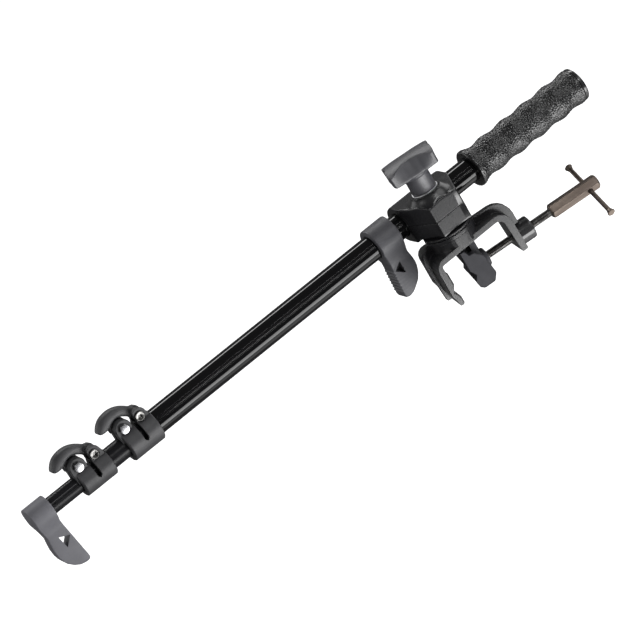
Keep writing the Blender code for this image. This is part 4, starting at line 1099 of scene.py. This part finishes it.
@dataclass
class LeverPiece:
    """A cam lever: a narrow hub on the pivot that swells into a smooth crescent wing.

    Each station has a point of the outer edge and of the inner edge, about the pivot, and a half
    width. The section between them is a superellipse.
    """

    stations: tuple[tuple[float, float, float, float, float], ...] = (
        (0.6, -3.7, -0.6, -3.7, 2.6), (3.1, -1.9, -3.1, -1.9, 3.0), (3.7, 1.2, -4.6, 0.2, 3.1),
        (3.3, 5.0, -6.4, 1.6, 3.1), (0.7, 8.8, -7.7, 3.8, 3.3), (-5.9, 14.9, -10.9, 6.5, 4.6),
        (-11.8, 18.4, -14.6, 9.0, 5.7), (-18.3, 20.2, -18.9, 9.8, 6.2), (-25.0, 20.2, -23.6, 8.6, 6.4),
        (-31.1, 18.7, -27.8, 6.4, 6.4), (-35.2, 16.1, -31.4, 5.5, 6.3), (-38.0, 13.0, -34.8, 5.6, 6.0),
        (-39.7, 10.4, -37.4, 6.2, 5.2), (-40.0, 9.0, -38.9, 7.2, 3.2))
    power: float = 2.7
    rows: int = 84
    columns: int = 40

    def grid(self) -> np.ndarray:
        """Sections along the lever, the stations joined by a cubic through them.

        Returns:
            A grid of points, one row for each section.
        """
        table = np.array(self.stations)
        padded = np.vstack([2 * table[0] - table[1], table, 2 * table[-1] - table[-2]])
        at = np.linspace(0, len(table) - 1, self.rows)
        index = np.minimum(at.astype(int), len(table) - 2)
        t = (at - index)[:, None]
        a, b, c, d = (padded[index + k] for k in range(4))
        bend, twist = 2 * a - 5 * b + 4 * c - d, 3 * b - a - 3 * c + d
        rows = 0.5 * (2 * b + (c - a) * t + bend * t ** 2 + twist * t ** 3)
        outer, inner, half = rows[:, 0:2], rows[:, 2:4], rows[:, 4:5]
        turn = bearings(self.columns)
        along, deep = (np.sign(wave) * np.abs(wave) ** (2 / self.power)
                       for wave in (np.cos(turn), np.sin(turn)))
        middle, reach = (outer + inner) / 2, (outer - inner) / 2
        plane = middle[:, None, :] + reach[:, None, :] * along[None, :, None]
        return np.stack([plane[..., 0], half * deep, plane[..., 1]], -1)


def arc_plate(loop: Sequence[Pair], centre: Point, start: float, end: float) -> np.ndarray:
    """Carry a closed loop over part of a turn about the boom's y axis.

    Args:
        loop: rows of radius and depth.
        centre: the middle of the turn.
        start: the first bearing, in degrees.
        end: the last bearing, in degrees.

    Returns:
        A grid of points, one row for each bearing.
    """
    angle = np.radians(np.linspace(start, end, ARC_STEPS))[:, None]
    radius, depth = np.array(loop).T
    return around(Axis.Y, radius, depth, angle) + np.array(centre)


def hexagon(corner: float, segments: int) -> np.ndarray:
    """A hexagon's radius by bearing: its flat's distance over the cosine from the flat's middle."""
    sector = bearings(segments) % (TURN / 6) - TURN / 12
    return corner * math.cos(TURN / 12) / np.cos(sector)


@dataclass
class FlipLock:
    """One flip lock: the split collar, the crescent lever, the pivot screw and the clamp bolt."""

    number: int
    body: str
    slot_x: float
    ear_z: float
    bolt_dx: float = -11.5
    pivot_dx: float = 7.0
    ear_face: float = 9.0
    rib_ends: Pair = (1.7, 8.3)
    rib_radius: float = 8.05
    rib_height: float = 0.5
    rib_pitch: float = 2.2
    rib_bore: float = 7.4
    rib_sweep: Pair = (-4.0, 184.0)
    rib_rows: int = 34
    washer_sweep: Pair = (-22.0, 202.0)
    bolt_corner: float = 4.9
    socket_corner: float = 2.2
    lever_bore: float = 2.8
    lever_reach: Pair = (-20.0, 20.0)
    washer: Chain = ((5.5, 9.05), (8.5, 9.05), (8.9, 9.3), (8.9, 9.8), (8.6, 10.0), (5.5, 10.0))
    columns: int = 72

    def centre(self, dx: float) -> Point:
        """The middle of an ear, in the boom's frame."""
        return (self.slot_x + dx, 0.0, self.ear_z)

    def bolt(self) -> np.ndarray:
        """A hexagon head with a domed, chamfered face, on a round shank.

        Returns:
            A grid of points, one row for each ring.
        """
        head = hexagon(self.bolt_corner, self.columns)
        face = -self.ear_face
        rows = [(0.1, face - 3.1), (3.4, face - 3.1), (np.minimum(head, 4.3), face - 2.9),
                (np.minimum(head, 4.75), face - 2.4), (head, face - 1.9), (head, face - 0.35),
                (2.5, face - 0.35), (2.5, 4.0 - face), (0.1, 4.0 - face)]
        return turned(rows, Axis.Y, self.columns, self.centre(self.bolt_dx))

    def pivot(self) -> np.ndarray:
        """A low round head with a hexagon socket, on a round shank.

        Returns:
            A grid of points, one row for each ring.
        """
        socket = hexagon(self.socket_corner, self.columns)
        face = -self.ear_face
        rows = [(0.1, face + 0.6), (socket, face + 0.6), (socket, face - 1.3), (2.9, face - 1.6),
                (4.1, face - 1.6), (4.6, face - 1.2), (4.7, face - 0.35), (2.5, face - 0.35),
                (2.5, 1.0 - face), (0.1, 1.0 - face)]
        return turned(rows, Axis.Y, self.columns, self.centre(self.pivot_dx))

    def ribs(self, low: float, high: float) -> np.ndarray:
        """A shell round an ear whose outside is a row of cosine ribs.

        Args:
            low: the depth at which it starts.
            high: the depth at which it ends.

        Returns:
            A grid of points, one row for each bearing.
        """
        depth = np.linspace(low, high, self.rib_rows)
        wave = 0.5 - 0.5 * np.cos(TURN * (depth - low) / self.rib_pitch)
        crest = self.rib_radius + self.rib_height * wave
        loop = [(self.rib_bore, low), *zip(crest.tolist(), depth.tolist()), (self.rib_bore, high)]
        return arc_plate(loop, self.centre(self.bolt_dx), *self.rib_sweep)

    def build(self) -> None:
        """Dress the lock's pieces."""
        tag = f"lock_{self.number}"
        BLACK_NYLON.dress(softened(f"{tag}_collar", width=0.3), self.body, f"{tag}_collar")
        pivot_at = BOOM.shifted(*self.centre(self.pivot_dx))
        lever = skin_piece(f"{tag}_lever_crescent", LeverPiece().grid(), pivot_at, sharp=50.0)
        drill(lever, self.lever_bore, Axis.Y, self.lever_reach, pivot_at)
        BLACK_NYLON.dress(lever, f"lever_{self.number}", f"{tag}_lever")
        near, far = self.rib_ends
        for side, low, high in (("near", -far, -near), ("far", near, far)):
            shell = skin_piece(f"{tag}_ear_ribs_{side}", self.ribs(low, high), BOOM, sharp=50.0)
            BLACK_NYLON.dress(shell, self.body)
        plate = arc_plate(self.washer, self.centre(self.bolt_dx), *self.washer_sweep)
        ZINC_STEEL.dress(skin_piece(f"{tag}_ear_washer", plate, BOOM, sharp=30.0), self.body)
        bolt = skin_piece(f"{tag}_hexagon_bolt", self.bolt(), BOOM, sharp=25.0)
        ZINC_STEEL.dress(bolt, self.body, f"{tag}_clamp_bolt")
        pivot = skin_piece(f"{tag}_socket_screw", self.pivot(), BOOM, sharp=25.0)
        THREAD_STEEL.dress(pivot, self.body, f"{tag}_lever_pin")
        ZINC_STEEL.repaint(f"{tag}_clamp_nut")


@dataclass
class Boom:
    """The telescopic boom: tubes, locks, hooks and grip."""

    tubes: tuple[DrawnTube, ...] = (
        DrawnTube("main_tube_grooved", "main_tube", "boom", radius=MAIN_RADIUS, wall=1.1,
                  left=-342.8, right=196.5, finish=GLOSS_TUBE),
        DrawnTube("middle_tube_plain", "middle_tube", "middle", radius=10.4, wall=1.0,
                  left=-396.8, right=170.0, finish=SATIN_TUBE, groove_depth=0.0),
        DrawnTube("inner_tube_grooved", "inner_tube", "inner", radius=8.4, wall=1.0,
                  left=-464.4, right=150.0, finish=SATIN_TUBE),
    )
    locks: tuple[FlipLock, ...] = (FlipLock(2, "boom", slot_x=-345.0, ear_z=17.6),
                                   FlipLock(1, "middle", slot_x=-399.0, ear_z=16.4))

    def build(self) -> None:
        """Build the tubes, the locks, the grip and the hooks."""
        for part in (*self.tubes, *self.locks, HandGrip()):
            part.build()
        BLACK_NYLON.repaint("middle_tube_bush", "inner_tube_bush")
        END_HOOK.build()
        SLIDING_HOOK.build()
        ZINC_STEEL.repaint("end_hook_screw")


def grey(level: float) -> tuple[float, float, float, float]:
    """A neutral colour in linear light."""
    return (level, level, level, 1.0)


def camera_only(tree: bpy.types.NodeTree, seen: bpy.types.NodeSocket,
                unseen: bpy.types.NodeSocket) -> bpy.types.NodeSocket:
    """Show one shader to the camera's own rays and another to all other rays.

    Args:
        tree: the node tree.
        seen: the shader that the camera sees.
        unseen: the shader that lights and is reflected.

    Returns:
        The mix of both.
    """
    is_camera = add_node(tree, "ShaderNodeLightPath").outputs["Is Camera Ray"]
    return add_node(tree, "ShaderNodeMixShader", {0: is_camera, 1: unseen, 2: seen}).outputs[0]


@dataclass(frozen=True)
class SoftBox:
    """A rectangular lamp: where it hangs from the object, in metres, and its watts."""

    name: str
    direction: Point
    distance: float
    size: Pair
    power: float

    def build(self, target: Point) -> None:
        """Hang the lamp out of the camera's sight.

        Args:
            target: the point that it looks at.
        """
        data = bpy.data.lights.new(self.name, "AREA")
        data.shape = "RECTANGLE"
        data.size, data.size_y = self.size
        data.energy = self.power
        lamp = in_scene(self.name, data)
        way = Vector(self.direction).normalized()
        lamp.location = Vector(target) + way * self.distance
        lamp.rotation_euler = way.to_track_quat("Z", "Y").to_euler()
        lamp.visible_camera = False


@dataclass
class Studio:
    """A pale floor, soft lamps and the camera at the photograph's angle, in metres."""

    camera_at: Point = (-0.399108, -2.552968, 1.051849)
    camera_right: Point = (0.82247589, -0.28636429, -0.49146043)
    camera_up: Point = (0.55983811, 0.25474398, 0.788474)
    focal_pixels: float = 3000.0
    image_pixels: float = 633.0
    sensor_mm: float = 36.0
    floor_z: float = -0.76
    floor_half: float = 6.0
    paper: float = 0.8
    paper_glow: float = 0.9
    dull_paper: float = 0.18
    surround: float = 0.16
    target: Point = (-0.06, 0.02, 0.03)
    lamps: tuple[SoftBox, ...] = (
        SoftBox("key_low", (0.38, -0.72, -0.61), 0.98, (1.0, 0.42), 12.5),
        SoftBox("key_under", (0.35, -0.35, -0.87), 0.7, (0.9, 0.5), 2.0),
        SoftBox("back_strip", (0.11, 0.58, 0.81), 1.8, (1.8, 0.26), 17.0),
        SoftBox("edge_strip", (0.46, -0.71, 0.55), 2.0, (0.75, 0.17), 9.0),
        SoftBox("fill_right", (0.85, -0.3, 0.43), 2.2, (1.3, 1.3), 10.0),
        SoftBox("fill_left", (-0.82, -0.42, 0.4), 2.4, (1.4, 1.4), 17.0),
        SoftBox("rear_left", (-0.8, 0.55, 0.25), 2.4, (1.4, 1.4), 9.0),
        SoftBox("rear_right", (0.78, 0.58, 0.25), 2.4, (1.4, 1.4), 9.0))

    def camera(self) -> None:
        """Place the camera by its right and up directions."""
        data = bpy.data.cameras.new("camera")
        data.sensor_width = self.sensor_mm
        data.lens = self.focal_pixels / self.image_pixels * self.sensor_mm
        right, up = Vector(self.camera_right), Vector(self.camera_up)
        turn = Matrix((right, up, right.cross(up))).transposed().to_4x4()
        camera = in_scene("camera", data)
        camera.matrix_world = Matrix.Translation(Vector(self.camera_at)) @ turn
        bpy.context.scene.camera = camera

    def floor(self) -> None:
        """Lay a matt sheet that the camera sees as white paper, with the object's shadow on it."""
        half = self.floor_half
        corners = [(-half, -half), (half, -half), (half, half), (-half, half)]
        mesh = bpy.data.meshes.new("floor")
        mesh.from_pydata([(x, y, self.floor_z) for x, y in corners], [], [(0, 1, 2, 3)])
        material = bpy.data.materials.new("white_paper")
        material.use_nodes = True
        tree = material.node_tree
        tree.nodes.clear()
        matt = add_node(tree, "ShaderNodeBsdfDiffuse", {"Color": grey(self.paper)})
        dull = add_node(tree, "ShaderNodeBsdfDiffuse", {"Color": grey(self.dull_paper)})
        glow = add_node(tree, "ShaderNodeEmission", {"Color": grey(1.0), "Strength": self.paper_glow})
        paper = add_node(tree, "ShaderNodeAddShader", {0: matt.outputs[0], 1: glow.outputs[0]})
        surface = camera_only(tree, paper.outputs[0], dull.outputs[0])
        add_node(tree, "ShaderNodeOutputMaterial", {"Surface": surface})
        mesh.materials.append(material)
        in_scene("floor", mesh)

    def world(self) -> None:
        """Surround the scene with an even grey that the camera sees as white."""
        world = bpy.data.worlds.new("studio")
        world.use_nodes = True
        bpy.context.scene.world = world
        tree = world.node_tree
        tree.nodes.clear()
        dim, white = (add_node(tree, "ShaderNodeBackground", {"Color": grey(1.0), "Strength": strength})
                      for strength in (self.surround, 1.0))
        surface = camera_only(tree, white.outputs[0], dim.outputs[0])
        add_node(tree, "ShaderNodeOutputWorld", {"Surface": surface})

    def build(self) -> None:
        """Set the stage."""
        self.camera()
        self.floor()
        self.world()
        for lamp in self.lamps:
            lamp.build(self.target)
        bpy.context.scene.view_settings.view_transform = "Standard"


def main() -> None:
    """Build the part's looks in order, then the studio."""
    logging.basicConfig(level=logging.INFO, format="%(message)s")
    ScrewClamp().build()
    Swivel().build()
    GripHead().build()
    KnobPiece().build()
    Boom().build()
    Studio().build()


if __name__ == "__main__":
    main()
